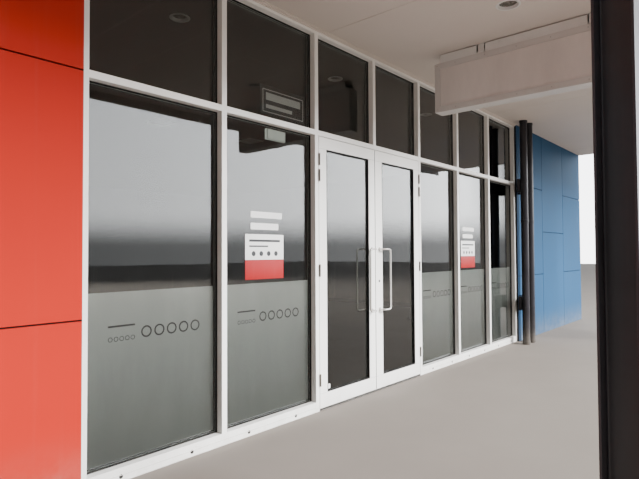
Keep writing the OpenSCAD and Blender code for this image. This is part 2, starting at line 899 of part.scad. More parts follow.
// Rafters taper towards the wall and are notched for the gutter
module awning_rafters() {
    seat_z = rafter_z + rafter_wall_h - box_gutter_h;
    color("gray") site()
        for (x = rafter_x)
            along_x(max(x, fascia_t), rafter_t - (x < fascia_t ? fascia_t : 0)
                - (x > building_w - rafter_t - fascia_t ? fascia_t : 0))
                polygon([[-awning_out + fascia_t, rafter_z], [wall_y, rafter_z],
                    [wall_y, seat_z], [-box_gutter_w, seat_z],
                    [-box_gutter_w, rafter_z + rafter_wall_h],
                    [-awning_out + fascia_t, rafter_z + rafter_front_h]]);
}

module awning_soffit() {
    color("antiquewhite") site()
        difference() {
            block([fascia_t, -awning_out + fascia_t, soffit_z],
                [building_w - fascia_t, wall_y, soffit_z + soffit_t]);
            for (x = soffit_light_xs)
                translate([x, -soffit_light_out, soffit_z - 1])
                    cylinder(h = soffit_t + 2, r = soffit_light_r - 10);
            for (x = post_x)
                translate([x - post_w / 2 - fit_gap, -post_out - post_d / 2 - fit_gap,
                    soffit_z - 1])
                    cube([post_w + 2 * fit_gap, post_d + 2 * fit_gap, soffit_t + 2]);
            for (x = pipe_xs)
                translate([x, -pipe_out, soffit_z - 1])
                    cylinder(h = soffit_t + 2, r = pipe_r + fit_gap);
            for (x = soffit_joints)
                block([x - 3, -awning_out, soffit_z - 1], [x + 3, wall_y + 1, soffit_z + 3]);
        }
}

// Folded fascia: front face, top return, and a ledge that carries the soffit's edge
module awning_fascia() {
    top = soffit_z + fascia_up;
    low = soffit_z - fascia_drop;
    face = -awning_out;
    foot = face + fascia_foot;
    lip = face + fascia_lip;
    color("whitesmoke") site()
        along_x(0, building_w)
            polygon([[face, low], [foot, low], [foot, soffit_z],
                [foot - fascia_t, soffit_z], [foot - fascia_t, low + fascia_t],
                [face + fascia_t, low + fascia_t], [face + fascia_t, top - fascia_t],
                [lip, top - fascia_t], [lip, top], [face, top]]);
}

module awning_ends() {
    color("whitesmoke") site()
        for (x = [0, building_w - fascia_t])
            block([x, -awning_out + fascia_t, soffit_z],
                [x + fascia_t, 0, soffit_z + fascia_up - fascia_t]);
}

// Ribbed sheeting as a cross-section, with ribs centred on its width
module sheet_section(width) {
    count = floor((width - rib_foot) / rib_pitch);
    start = (width - count * rib_pitch) / 2;
    mids = [for (i = [0 : count]) start + i * rib_pitch];
    upper = [for (m = mids) each [[m - rib_foot / 2, sheet_t], [m - rib_top / 2, sheet_t + rib_h],
        [m + rib_top / 2, sheet_t + rib_h], [m + rib_foot / 2, sheet_t]]];
    lower = [for (i = [count : -1 : 0]) let (m = mids[i]) each
        [[m + rib_foot / 2 - sheet_t, 0], [m + rib_top / 2 - sheet_t, rib_h],
        [m - rib_top / 2 + sheet_t, rib_h], [m - rib_foot / 2 + sheet_t, 0]]];
    polygon(concat([[0, sheet_t]], upper, [[width, sheet_t], [width, 0]], lower, [[0, 0]]));
}

// Sheeting laid from a point along +Y and tilted down by an angle
module sheeting(at, width, length, angle) {
    translate(at)
        rotate([-angle, 0, 0])
            translate([0, length, 0])
                rotate([90, 0, 0])
                    linear_extrude(length) sheet_section(width);
}

module awning_roof() {
    color("lightgray") site()
        sheeting([fascia_t, -awning_out + fascia_t, rafter_z + rafter_front_h],
            building_w - 2 * fascia_t, awning_run / cos(awning_angle) + 20, awning_angle);
}

// Folded gutter lying in the rafters' notches, with its back against the wall
module awning_gutter() {
    seat_z = rafter_z + rafter_wall_h - box_gutter_h;
    color("gray") site()
        difference() {
            along_x(fascia_t, building_w - 2 * fascia_t)
                polygon([[-box_gutter_w, seat_z], [wall_y, seat_z],
                    [wall_y, upper_panel_z - joint_w], [wall_y - gutter_t, upper_panel_z - joint_w],
                    [wall_y - gutter_t, seat_z + gutter_t],
                    [-box_gutter_w + gutter_t, seat_z + gutter_t],
                    [-box_gutter_w + gutter_t, seat_z + box_gutter_h - 10],
                    [-box_gutter_w, seat_z + box_gutter_h - 10]]);
            for (x = pipe_xs)
                translate([x, -pipe_out, seat_z - 1])
                    cylinder(h = gutter_t + 2, r = pipe_r - pipe_wall);
        }
}

module awning_downlights() {
    color("white") site()
        for (x = soffit_light_xs)
            translate([x, -soffit_light_out, soffit_z]) downlight(soffit_light_r);
}

// HANGING SIGN
sign_low_z = soffit_z - sign_gap - sign_h;

module sign_frame() {
    color("silver") site()
        along_x(sign_x, sign_t)
            difference() {
                translate([-sign_from - sign_l, sign_low_z]) square([sign_l, sign_h]);
                translate([-sign_from - sign_l + sign_border, sign_low_z + sign_border])
                    square([sign_l - 2 * sign_border, sign_h - 2 * sign_border]);
            }
}

module sign_skins() {
    skin = 4;
    edge = sign_border + fit_gap;
    color("linen") site()
        for (x = [sign_x + sign_recess, sign_x + sign_t - sign_recess - skin])
            block([x, -sign_from - sign_l + edge, sign_low_z + edge],
                [x + skin, -sign_from - edge, sign_low_z + sign_h - edge]);
}

// A hollow rail lying on the sign, from one distance from the front face to another
module sign_rail(from, to) {
    inset = 4;
    clear = 10;
    x0 = sign_x + inset;
    x1 = sign_x + sign_t - inset;
    z0 = soffit_z - sign_gap;
    z1 = soffit_z - clear;
    difference() {
        block([x0, -to, z0], [x1, -from, z1]);
        block([x0 + sign_rail_t, -to - 1, z0 + sign_rail_t],
            [x1 - sign_rail_t, -from + 1, z1 - sign_rail_t]);
    }
}

// Each hanger: a plate on the soffit and two short rods down to the sign. The rails fill the
// gap above the sign between the hangers.
module sign_hangers() {
    plate_t = 6;
    stops = [for (part = [0.25, 0.75]) sign_from + part * sign_l];
    half_gap = sign_rail_gap / 2;
    color("silver") site() {
        for (stop = stops)
            translate([sign_x + sign_t / 2, -stop, soffit_z - sign_gap]) {
                translate([-25, -45, sign_gap - plate_t]) cube([50, 90, plate_t]);
                for (side = [-1, 1])
                    translate([0, side * 25, 0]) cylinder(h = sign_gap - plate_t, r = 7);
            }
        sign_rail(sign_from + sign_rail_end, stops[0] - half_gap);
        sign_rail(stops[0] + half_gap, stops[1] - half_gap);
        sign_rail(stops[1] + half_gap, sign_from + sign_l - sign_rail_end);
    }
}

// DRAINAGE
module front_downpipes() {
    seat_z = rafter_z + rafter_wall_h - box_gutter_h;
    color("dimgray") site()
        for (x = pipe_xs)
            translate([x, -pipe_out, 0])
                difference() {
                    union() {
                        cylinder(h = seat_z, r = pipe_r);
                        translate([0, 0, soffit_z - collar_h]) cylinder(h = collar_h, r = collar_r);
                    }
                    translate([0, 0, -1]) cylinder(h = seat_z + 2, r = pipe_r - pipe_wall);
                }
}

// Brackets in plan: a rail with a saddle for each pipe, one leg and a foot on the wall
module downpipe_brackets() {
    foot_t = 6;
    rail_front = -pipe_out + pipe_r - 5;
    rail_back = rail_front + rail_t;
    leg_x = opening_end_x + bracket_leg_x;
    color("dimgray") site()
        for (z = [bracket_low_z, bracket_high_z])
            translate([0, 0, z - bracket_h / 2])
                linear_extrude(bracket_h)
                    difference() {
                        union() {
                            translate([pipe_xs[0] - pipe_r, rail_front])
                                square([pipe_pitch + 2 * pipe_r, rail_t]);
                            translate([leg_x, rail_back - 1])
                                square([bracket_leg_w, -foot_t - rail_back + 2]);
                            translate([leg_x, -foot_t]) square([2 * bracket_leg_w, foot_t]);
                        }
                        for (x = pipe_xs)
                            translate([x, -pipe_out]) circle(r = pipe_r + fit_gap);
                    }
}

// ROOF
module roof_purlins() {
    color("lightgray") site()
        translate([0, wall_back_y, roof_front_z])
            rotate([-roof_angle, 0, 0])
                for (y = purlin_ys)
                    along_x(party_t + fit_gap, inner_w - 2 * fit_gap)
                        translate([y, -purlin_h])
                            difference() {
                                square([purlin_w, purlin_h]);
                                translate([purlin_t, purlin_t])
                                    square([purlin_w, purlin_h - 2 * purlin_t]);
                            }
}

// The roof sheeting lies on a thin seal over the purlins and the rear wall
module roof_sheeting() {
    color("lightgray") site()
        sheeting([party_t + fit_gap, wall_back_y + fit_gap, roof_front_z + fit_gap],
            inner_w - 2 * fit_gap, roof_len, roof_angle);
}

// Rear gutter on the wall, just under the sheeting's edge
gutter_top_z = roof_z(shop_depth) - 12;

module rear_gutter() {
    color("dimgray") site()
        difference() {
            block([party_t, shop_depth, gutter_top_z - gutter_h],
                [building_w - party_t, shop_depth + gutter_w, gutter_top_z]);
            block([party_t + gutter_t, shop_depth + gutter_t, gutter_top_z - gutter_h + gutter_t],
                [building_w - party_t - gutter_t, shop_depth + gutter_w - gutter_t,
                gutter_top_z + 1]);
            for (x = [rear_pipe_x, building_w - rear_pipe_x])
                translate([x, shop_depth + gutter_w / 2, gutter_top_z - gutter_h - 1])
                    cylinder(h = gutter_t + 2, r = rear_pipe_r - pipe_wall);
        }
}

module rear_downpipes() {
    top = gutter_top_z - gutter_h;
    color("dimgray") site()
        for (x = [rear_pipe_x, building_w - rear_pipe_x]) {
            translate([x, shop_depth + gutter_w / 2, 0])
                difference() {
                    cylinder(h = top, r = rear_pipe_r);
                    translate([0, 0, -1]) cylinder(h = top + 2, r = rear_pipe_r - pipe_wall);
                }
            for (i = [0 : 2])
                translate([x, shop_depth, rear_bracket_z + i * rear_bracket_pitch])
                    difference() {
                        block([-rear_pipe_r - 4, 0, 0],
                            [rear_pipe_r + 4, gutter_w / 2, rear_bracket_h]);
                        translate([0, gutter_w / 2, -1])
                            cylinder(h = rear_bracket_h + 2, r = rear_pipe_r);
                    }
        }
}

// Folded capping: a top sheet with a folded edge down each exposed face of the wall.
// The outer faces of the party walls meet their neighbours, so they have no folded edge.
cap_out = cap_gap + cap_t;

module cap_edge(from, to) {
    block([from[0], from[1], parapet_z - cap_lip], [to[0], to[1], parapet_z + cap_t]);
}

module front_capping() {
    block([0, -cap_out, parapet_z], [building_w, wall_back_y + cap_out, parapet_z + cap_t]);
    cap_edge([0, -cap_out], [building_w, -cap_gap]);
    cap_edge([party_t + cap_out, wall_back_y + cap_gap],
        [building_w - party_t - cap_out, wall_back_y + cap_out]);
}

module side_capping() {
    from_y = wall_back_y + cap_out + fit_gap;
    block([0, from_y, parapet_z], [party_t + cap_out, shop_depth, parapet_z + cap_t]);
    cap_edge([party_t + cap_gap, from_y], [party_t + cap_out, shop_depth]);
}

module parapet_capping() {
    color("dimgray") site() {
        front_capping();
        side_capping();
        translate([building_w, 0, 0]) mirror([1, 0, 0]) side_capping();
    }
}

shop_floor();
left_party_wall();
right_party_wall();
rear_wall();
front_wall_left();
front_wall_right();
front_wall_over();
left_cladding();
right_cladding();
upper_cladding();
shopfront_left();
shopfront_right();
shopfront_over_doors();
sub_sills();
door_threshold();
head_trim();
shopfront_glass();
jamb_hinges();
left_door();
left_door_glass();
left_door_pulls();
left_door_hinges();
right_door();
right_door_glass();
right_door_pulls();
right_door_hinges();
right_door_lock();
shop_ceiling();
shop_downlights();
ceiling_lights();
exit_light();
awning_posts();
awning_beam();
awning_rafters();
awning_soffit();
awning_fascia();
awning_ends();
awning_roof();
awning_gutter();
awning_downlights();
sign_frame();
sign_skins();
sign_hangers();
front_downpipes();
downpipe_brackets();
roof_purlins();
roof_sheeting();
rear_gutter();
rear_downpipes();
parapet_capping();
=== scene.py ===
"""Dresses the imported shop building: finishes, glazing trim, films, fixings, lamps and stage."""

import math

import bmesh
import bpy
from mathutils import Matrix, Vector


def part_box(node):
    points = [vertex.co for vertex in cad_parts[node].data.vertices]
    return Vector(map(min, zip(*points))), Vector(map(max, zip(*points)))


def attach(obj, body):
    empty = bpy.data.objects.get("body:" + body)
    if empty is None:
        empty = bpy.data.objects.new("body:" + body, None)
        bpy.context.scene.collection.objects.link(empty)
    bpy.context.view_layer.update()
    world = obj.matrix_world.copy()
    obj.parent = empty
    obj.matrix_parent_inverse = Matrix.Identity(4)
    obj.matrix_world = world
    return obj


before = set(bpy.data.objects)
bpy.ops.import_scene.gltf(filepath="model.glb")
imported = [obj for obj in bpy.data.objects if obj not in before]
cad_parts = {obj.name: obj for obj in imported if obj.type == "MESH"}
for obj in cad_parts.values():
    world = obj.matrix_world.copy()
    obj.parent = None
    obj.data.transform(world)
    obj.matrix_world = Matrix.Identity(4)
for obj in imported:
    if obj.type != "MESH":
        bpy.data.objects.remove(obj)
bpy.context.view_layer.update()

bl_info = {
    "name": "Shop Building",
    "version": (1, 0, 0),
    "blender": (4, 5, 0),
    "location": "View3D > Sidebar > Shop",
    "description": "Finishes and small parts for a single-storey shop with a street awning",
    "category": "Add Mesh",
}

LEFT_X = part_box("left_party_wall")[0].x
FRONT_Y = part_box("left_cladding")[0].y


def reach(node, axis):
    """Where a node begins and ends along an axis, in millimetres as at() takes them."""
    start = (LEFT_X, FRONT_Y, 0)[axis]
    return tuple(round((corner[axis] - start) * 1000, 1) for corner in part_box(node))


# Places in millimetres: x from the left end, y behind the front face, z above the ground.
# The building:
WIDTH = reach("right_party_wall", 0)[1]
DEPTH = reach("rear_wall", 1)[1]
OPENING = reach("sub_sills", 0)
SIDE_IN = reach("left_party_wall", 0)[1]
WALL_BACK = reach("front_wall_over", 1)[1]
REAR_IN = reach("rear_wall", 1)[0]
FLOOR = reach("shop_floor", 2)[1]
SOFFIT = reach("shop_ceiling", 2)[0]
PARAPET = reach("front_wall_over", 2)[1]
UPPER_PANELS = reach("upper_cladding", 2)[0]
# The shopfront and its doors:
FRAME_W = 45
FRAME_Y = reach("shopfront_left", 1)[0]
SILL, TRANSOM, UPPER, HEAD = 85, 2388, 2433, 3276
GLASS_FRONT, GLASS_BACK = reach("shopfront_glass", 1)
LEAF_LEFT, LEAF_RIGHT = reach("left_door", 0)[0], reach("right_door", 0)[1]
LEAF_LOW, LEAF_TOP = reach("left_door", 2)
JAMB_OUT = 28.5
JAMBS = (LEAF_LEFT - JAMB_OUT, LEAF_RIGHT + JAMB_OUT)
LEFT_PITCH, RIGHT_PITCH = 1012, 952
# The awning and its posts:
AWNING = -reach("awning_fascia", 1)[0]
BASE_HALF = 160
POST_GAP = 7000
POST_Y = reach("awning_posts", 1)[0] + BASE_HALF
POST_ENDS = reach("awning_posts", 0)
POSTS = (POST_ENDS[0] + BASE_HALF, POST_ENDS[1] - BASE_HALF - POST_GAP,
         POST_ENDS[1] - BASE_HALF)


STREET, REAR, UP, DOWN = (0, -1, 0), (0, 1, 0), (0, 0, 1), (0, 0, -1)


def at(x, y, z):
    """A place in metres from millimetres along the front, behind its face and above ground."""
    return Vector((LEFT_X + x / 1000, FRONT_Y + y / 1000, z / 1000))


def run_of_panes(first, pitch, count):
    """Left and right edges of the panes between mullions whose centres stand at a pitch."""
    half = FRAME_W / 2
    return [(first + i * pitch + half, first + (i + 1) * pitch - half) for i in range(count)]


def leaf_pane(name, left_stile, right_stile=100, foot=125, head=103):
    """Edges of the glass that shows in a door leaf: x0, x1, z0, z1."""
    x0, x1 = reach(name, 0)
    return (x0 + left_stile, x1 - right_stile, LEAF_LOW + foot, LEAF_TOP - head)


BAYS = (run_of_panes(JAMBS[0] - 2 * LEFT_PITCH, LEFT_PITCH, 2)
        + run_of_panes(JAMBS[1], RIGHT_PITCH, 3))
OVER_DOORS = run_of_panes(JAMBS[0], (JAMBS[1] - JAMBS[0]) / 2, 2)
PANES = ([(x0, x1, SILL, TRANSOM) for x0, x1 in BAYS]
         + [(x0, x1, UPPER, HEAD) for x0, x1 in BAYS + OVER_DOORS])
LEAVES = {"left_door": leaf_pane("left_door", 100), "right_door": leaf_pane("right_door", 120)}


# SIZES AND COLOURS
def length_property(name, description, default):
    return bpy.props.FloatProperty(
        name=name, description=description, default=default, unit="LENGTH")


class ShopSizes(bpy.types.PropertyGroup):
    """Sizes of the small parts."""

    bead_w: length_property("Bead Width", "Width of the beads round each pane", 0.012)
    gasket_w: length_property("Gasket Width", "Visible width of the black gaskets", 0.009)
    joint_recess: length_property(
        "Joint Recess", "Depth of the dark strips in the cladding joints", 0.018)
    film_top: length_property("Film Height", "Height of the frosted film's upper edge", 1.13)
    plug_pitch: length_property(
        "Plug Spacing", "Spacing of the plugs along the sub-sill", 0.43)
    strip_pitch: length_property(
        "Fascia Strip Spacing", "Spacing of the fascia's cover strips", 2.4)
    tile: length_property("Floor Tile", "Side of the shop's floor tiles", 0.6)


def colour_property(name, description, default):
    return bpy.props.FloatVectorProperty(
        name=name, description=description, default=default, size=3, min=0, max=1,
        subtype="COLOR")


class ShopColours(bpy.types.PropertyGroup):
    """Colours of the main finishes."""

    orange: colour_property("Left Panels", "Colour of the left cladding", (0.42, 0.021, 0.012))
    blue: colour_property("Right Panels", "Colour of the right cladding", (0.026, 0.082, 0.168))
    pale: colour_property("Pale Panels", "Colour of the upper panels and fascia",
                          (0.72, 0.70, 0.66))
    white: colour_property("Frames", "Colour of the shopfront frames", (0.88, 0.87, 0.84))
    charcoal: colour_property("Steelwork", "Colour of posts, pipes and capping",
                              (0.020, 0.019, 0.023))
    soffit: colour_property("Soffit", "Colour of the awning's lining", (0.67, 0.60, 0.55))
    film: colour_property("Film", "Colour of the frosted film", (0.86, 0.88, 0.84))
    render: colour_property("Render", "Colour of the rendered walls", (0.60, 0.57, 0.52))


# NODES
class Wiring:
    """Adds nodes to one tree and joins them, a call for each node."""

    def __init__(self, tree):
        self.tree = tree

    def feed(self, socket, value):
        if isinstance(value, bpy.types.NodeSocket):
            self.tree.links.new(value, socket)
        else:
            socket.default_value = value

    def add(self, kind, inputs=None, **settings):
        node = self.tree.nodes.new(kind)
        for key, value in settings.items():
            setattr(node, key, value)
        for key, value in (inputs or {}).items():
            self.feed(node.inputs[key], value)
        return node

    def math(self, operation, a, b=0.0, c=0.0, clamp=False):
        return self.add("ShaderNodeMath", {0: a, 1: b, 2: c}, operation=operation,
                        use_clamp=clamp).outputs[0]

    def mix(self, factor, a, b):
        return self.add("ShaderNodeMix", {0: factor, 6: a, 7: b},
                        data_type="RGBA").outputs[2]

    def span(self, value, low, high, to_low=0.0, to_high=1.0, **settings):
        return self.add("ShaderNodeMapRange", {0: value, 1: low, 2: high, 3: to_low,
                                               4: to_high}, **settings).outputs[0]

    def noise(self, vector, scale, detail=3.0, roughness=0.5):
        return self.add("ShaderNodeTexNoise", {
            "Vector": vector, "Scale": scale, "Detail": detail,
            "Roughness": roughness}).outputs[0]

    def stretched(self, vector, factors):
        return self.add("ShaderNodeVectorMath", {0: vector, 1: factors},
                        operation="MULTIPLY").outputs[0]

    def dot(self, a, b):
        return self.add("ShaderNodeVectorMath", {0: a, 1: b},
                        operation="DOT_PRODUCT").outputs["Value"]

    def split(self, vector):
        return self.add("ShaderNodeSeparateXYZ", {0: vector}).outputs

    def bump(self, depth, height, **more):
        return self.add("ShaderNodeBump", {"Strength": 1.0, "Distance": depth,
                                           "Height": height, **more}).outputs[0]

    def effect(self, name, where, values=None):
        """A shader node group, built on its first use and shared by every finish after that."""
        tree = bpy.data.node_groups.get(name)
        if tree is None:
            wire, inputs, outputs = EFFECTS[name]
            tree = bpy.data.node_groups.new(name, "ShaderNodeTree")
            socket_list(tree, "INPUT", [("Vector", "Vector", None)] + inputs)
            socket_list(tree, "OUTPUT", [(key, kind, None) for key, kind in outputs])
            w = Wiring(tree)
            wire(w, w.add("NodeGroupInput").outputs, w.add("NodeGroupOutput").inputs)
        return self.add("ShaderNodeGroup", {"Vector": where, **(values or {})},
                        node_tree=tree).outputs


def socket_list(tree, in_out, sockets):
    for name, kind, default in sockets:
        made = tree.interface.new_socket(name=name, in_out=in_out,
                                         socket_type="NodeSocket" + kind)
        if default is not None:
            made.default_value = default


# EFFECTS THAT FINISHES SHARE
def wire_grain(w, given, out):
    fine = w.noise(given["Vector"], given["Fine Scale"], 2.0, 0.55)
    cloud = w.noise(given["Vector"], given["Cloud Scale"], 5.0, 0.6)
    w.feed(out["Height"], fine)
    w.feed(out["Cloud"], w.span(cloud, 0.3, 0.7))


def wire_grime(w, given, out):
    height = w.split(given["Vector"])[2]
    low = w.span(w.math("DIVIDE", height, given["Reach"]), 0.0, 1.0, 1.0, 0.0)
    patches = w.noise(given["Vector"], 7.0, 6.0, 0.65)
    near_ground = w.math("MULTIPLY", w.math("POWER", low, 1.8),
                         w.span(patches, 0.3, 0.65, 0.25, 1.0))
    runs = w.noise(w.stretched(given["Vector"], (9.0, 9.0, 0.35)), 1.6, 4.0, 0.6)
    streaks = w.math("MULTIPLY", w.span(runs, 0.56, 0.78), given["Streaks"])
    both = w.math("ADD", w.math("MULTIPLY", near_ground, given["Amount"]), streaks, clamp=True)
    w.feed(out["Mask"], both)


def wire_wear(w, given, out):
    rounded = w.add("ShaderNodeBevel", {"Radius": given["Radius"]}, samples=4).outputs[0]
    flat = w.add("ShaderNodeNewGeometry").outputs["Normal"]
    edge = w.span(w.math("SUBTRACT", 1.0, w.dot(rounded, flat)), 0.02, 0.2)
    chips = w.noise(given["Vector"], 60.0, 5.0, 0.7)
    w.feed(out["Mask"], w.math("MULTIPLY", w.math("MULTIPLY", edge, given["Amount"]),
                               w.span(chips, 0.45, 0.6)))
    w.feed(out["Normal"], rounded)


def wire_tiles(w, given, out):
    parts = w.split(given["Vector"])
    near, cells = [], []
    for axis, size in ((0, given["Width"]), (1, given["Depth"])):
        near.append(w.math("PINGPONG", parts[axis], w.math("MULTIPLY", size, 0.5)))
        cells.append(w.math("FLOOR", w.math("DIVIDE", parts[axis], size)))
    gap = w.math("MINIMUM", near[0], near[1])
    half = w.math("MULTIPLY", given["Line"], 0.5)
    w.feed(out["Line"], w.math("LESS_THAN", gap, half))
    cell = w.add("ShaderNodeCombineXYZ", {0: cells[0], 1: cells[1]}).outputs[0]
    w.feed(out["Tone"], w.add("ShaderNodeTexWhiteNoise", {0: cell}).outputs[0])


def wire_brushed(w, given, out):
    lines = w.noise(w.stretched(given["Vector"], given["Stretch"]), 900.0, 2.0, 0.6)
    scuffs = w.noise(given["Vector"], 25.0, 6.0, 0.7)
    w.feed(out["Height"], lines)
    w.feed(out["Scuffs"], w.span(scuffs, 0.4, 0.7))


EFFECTS = {
    "paint_grain": (wire_grain, [("Fine Scale", "Float", 600.0), ("Cloud Scale", "Float", 1.5)],
                    [("Height", "Float"), ("Cloud", "Float")]),
    "ground_grime": (wire_grime, [("Reach", "Float", 0.5), ("Amount", "Float", 0.4),
                                  ("Streaks", "Float", 0.1)], [("Mask", "Float")]),
    "edge_wear": (wire_wear, [("Radius", "Float", 0.0015), ("Amount", "Float", 0.3)],
                  [("Mask", "Float"), ("Normal", "Vector")]),
    "square_grid": (wire_tiles, [("Width", "Float", 0.6), ("Depth", "Float", 0.6),
                                 ("Line", "Float", 0.004)],
                    [("Line", "Float"), ("Tone", "Float")]),
    "brushed_lines": (wire_brushed, [("Stretch", "Vector", None)],
                      [("Height", "Float"), ("Scuffs", "Float")]),
}


# FINISHES
DUST = (0.34, 0.29, 0.23)


def new_finish(name):
    """A material with an empty tree, its wiring, and the Object coordinates."""
    material = bpy.data.materials.new(name + "_finish")
    material.use_nodes = True
    material.node_tree.nodes.clear()
    w = Wiring(material.node_tree)
    return material, w, w.add("ShaderNodeTexCoord").outputs["Object"]


def close_finish(w, sockets):
    surface = w.add("ShaderNodeBsdfPrincipled", sockets)
    w.feed(w.add("ShaderNodeOutputMaterial").inputs["Surface"], surface.outputs[0])


def shade(colour, factor=1):
    return (*[min(1.0, c * factor) for c in colour], 1.0)


def interior_shade_mask(w, where):
    """A mask that is 1 on the faces that look into the shop, below its ceiling, where the painted
    shade goes.
    """
    parts = w.split(where)
    low = at(SIDE_IN - 10, WALL_BACK - 5, 0)
    high = at(WIDTH - SIDE_IN + 10, REAR_IN + 5, SOFFIT)
    mask = w.math("LESS_THAN", parts[2], high.z)
    for axis in (0, 1):
        mask = w.math("MULTIPLY", mask, w.math("GREATER_THAN", parts[axis], low[axis]))
        mask = w.math("MULTIPLY", mask, w.math("LESS_THAN", parts[axis], high[axis]))
    return mask


def painted(name, colour, roughness, fine, cloud, tone, depth, dirt_top, dirt, streaks, edge,
            wear, bare=(0.45, 0.45, 0.44), coat=0.0, shine=0.4, inside=None):
    """A coated or rendered surface: mottled colour, ground dust, worn edges and fine grain, and
    where asked a near-black painted shade on the faces inside the shop.
    """
    material, w, where = new_finish(name)
    grain = w.effect("paint_grain", where, {"Fine Scale": fine, "Cloud Scale": cloud})
    grime = w.effect("ground_grime", where, {
        "Reach": dirt_top, "Amount": dirt, "Streaks": streaks})["Mask"]
    edges = w.effect("edge_wear", where, {"Radius": edge, "Amount": wear})
    body = w.mix(grain["Cloud"], shade(colour, 1 - tone), shade(colour, 1 + tone))
    # Painted shade: faces inside the unlit shop take a near-black colour in place of their paint.
    if inside:
        body = w.mix(interior_shade_mask(w, where), body, shade(inside))
    body = w.mix(grime, body, shade(DUST))
    body = w.mix(edges["Mask"], body, shade(bare))
    rough = w.math("ADD", w.span(grain["Cloud"], 0, 1, roughness - 0.04, roughness + 0.05),
                   w.math("MULTIPLY", grime, 0.3), clamp=True)
    close_finish(w, {"Base Color": body, "Roughness": rough,
                     "Normal": w.bump(depth, grain["Height"], Normal=edges["Normal"]),
                     "Coat Weight": coat, "Coat Roughness": 0.12,
                     "Specular IOR Level": shine})
    return material


def brushed(name, colour, roughness, stretch):
    """Brushed or scuffed bare metal."""
    material, w, where = new_finish(name)
    lines = w.effect("brushed_lines", where, {"Stretch": stretch})
    edges = w.effect("edge_wear", where, {"Radius": 0.0008})
    body = w.mix(lines["Scuffs"], shade(colour, 0.6), shade(colour))
    body = w.mix(edges["Mask"], body, shade(colour, 1.25))
    rough = w.span(lines["Height"], 0.3, 0.7, roughness - 0.08, roughness + 0.08)
    close_finish(w, {"Base Color": body, "Roughness": rough, "Metallic": 1.0,
                     "Normal": w.bump(0.00003, lines["Height"], Normal=edges["Normal"])})
    return material


def polished(name, colour, dark_reflection_colour):
    """Polished metal with a painted dark reflection where its surface turns away from the eye."""
    material, w, where = new_finish(name)
    lines = w.effect("brushed_lines", where, {"Stretch": (1.0, 1.0, 0.04)})
    turn = w.add("ShaderNodeLayerWeight", {"Blend": 0.5}).outputs["Facing"]
    bright = w.mix(lines["Scuffs"], shade(colour, 0.92), shade(colour))
    # Painted reflection: the colour turns dark where the surface faces away from the eye.
    body = w.mix(w.span(turn, 0.45, 0.85), bright, shade(dark_reflection_colour))
    close_finish(w, {"Base Color": body, "Metallic": 0.6,
                     "Roughness": w.span(lines["Height"], 0.3, 0.7, 0.10, 0.2)})
    return material


def galvanised(name):
    """Zinc-coated steel with its crystal pattern."""
    material, w, where = new_finish(name)
    cells = w.add("ShaderNodeTexVoronoi", {"Vector": where, "Scale": 55.0})
    tone = w.add("ShaderNodeSeparateColor", {0: cells.outputs["Color"]}).outputs[0]
    body = w.mix(tone, (0.36, 0.37, 0.38, 1), (0.55, 0.56, 0.57, 1))
    dull = w.math("MULTIPLY", w.effect("paint_grain", where)["Cloud"], 0.35)
    close_finish(w, {"Base Color": w.mix(dull, body, (0.30, 0.29, 0.27, 1)),
                     "Roughness": w.span(tone, 0, 1, 0.35, 0.55), "Metallic": 1.0})
    return material


def clear_glass(name):
    """Grey-green float glass with faint smears and roller waves."""
    material, w, where = new_finish(name)
    smears = w.noise(w.stretched(where, (1.0, 1.0, 0.6)), 9.0, 6.0, 0.7)
    waves = w.noise(w.stretched(where, (1.0, 1.0, 0.35)), 2.2, 1.0, 0.4)
    close_finish(w, {"Base Color": (0.70, 0.73, 0.71, 1),
                     "Roughness": w.span(smears, 0.45, 0.75, 0.0, 0.06),
                     "Normal": w.bump(0.0009, waves), "IOR": 1.52,
                     "Transmission Weight": 1.0})
    return material


def frosted_film(name, colour):
    """Matt film with faint squeegee marks, and painted shade that darkens it towards the ground.
    """
    material, w, where = new_finish(name)
    marks = w.noise(w.stretched(where, (1.0, 1.0, 0.25)), 6.0, 5.0, 0.65)
    sparkle = w.noise(where, 1500.0, 1.0, 0.5)
    body = w.mix(w.span(marks, 0.35, 0.7), shade(colour, 0.93), shade(colour, 1.07))
    # Painted shade: the film mixes towards near-black as it nears the ground.
    body = w.mix(w.span(w.split(where)[2], 0.1, 1.1, 0.68, 0.0), body,
                 (0.045, 0.043, 0.038, 1))
    close_finish(w, {"Base Color": body, "Roughness": w.span(sparkle, 0.3, 0.7, 0.45, 0.6),
                     "Normal": w.bump(0.00004, sparkle)})
    return material


def floor_tiles(name, size):
    """Matt shop tiles with thin dark joints."""
    material, w, where = new_finish(name)
    grid = w.effect("square_grid", where, {"Width": size, "Depth": size})
    grain = w.effect("paint_grain", where, {"Fine Scale": 90.0})
    body = w.mix(grid["Tone"], (0.11, 0.105, 0.10, 1), (0.14, 0.135, 0.13, 1))
    body = w.mix(w.math("MULTIPLY", grain["Cloud"], 0.4), body, (0.13, 0.12, 0.11, 1))
    body = w.mix(grid["Line"], body, (0.05, 0.05, 0.05, 1))
    height = w.math("SUBTRACT", w.math("MULTIPLY", grain["Height"], 0.2), grid["Line"])
    close_finish(w, {"Base Color": body,
                     "Roughness": w.span(grain["Height"], 0.3, 0.7, 0.35, 0.5),
                     "Normal": w.bump(0.0008, height)})
    return material


def ceiling_board(name):
    """Pitted ceiling tiles between raised runners, coloured near-black as painted shade for the
    unlit shop.
    """
    material, w, where = new_finish(name)
    line = w.effect("square_grid", where, {"Width": 0.6, "Depth": 1.2, "Line": 0.024})["Line"]
    pits = w.span(w.noise(where, 130.0, 4.0, 0.8), 0.3, 0.42)
    # Near-black tiles and dark runners: painted shade that stands for the unlit shop, not the
    # tiles' own colour.
    body = w.mix(pits, (0.05, 0.05, 0.05, 1), (0.08, 0.08, 0.078, 1))
    close_finish(w, {"Base Color": w.mix(line, body, (0.10, 0.10, 0.10, 1)),
                     "Roughness": 0.85,
                     "Normal": w.bump(0.0012, w.math("ADD", pits, line))})
    return material


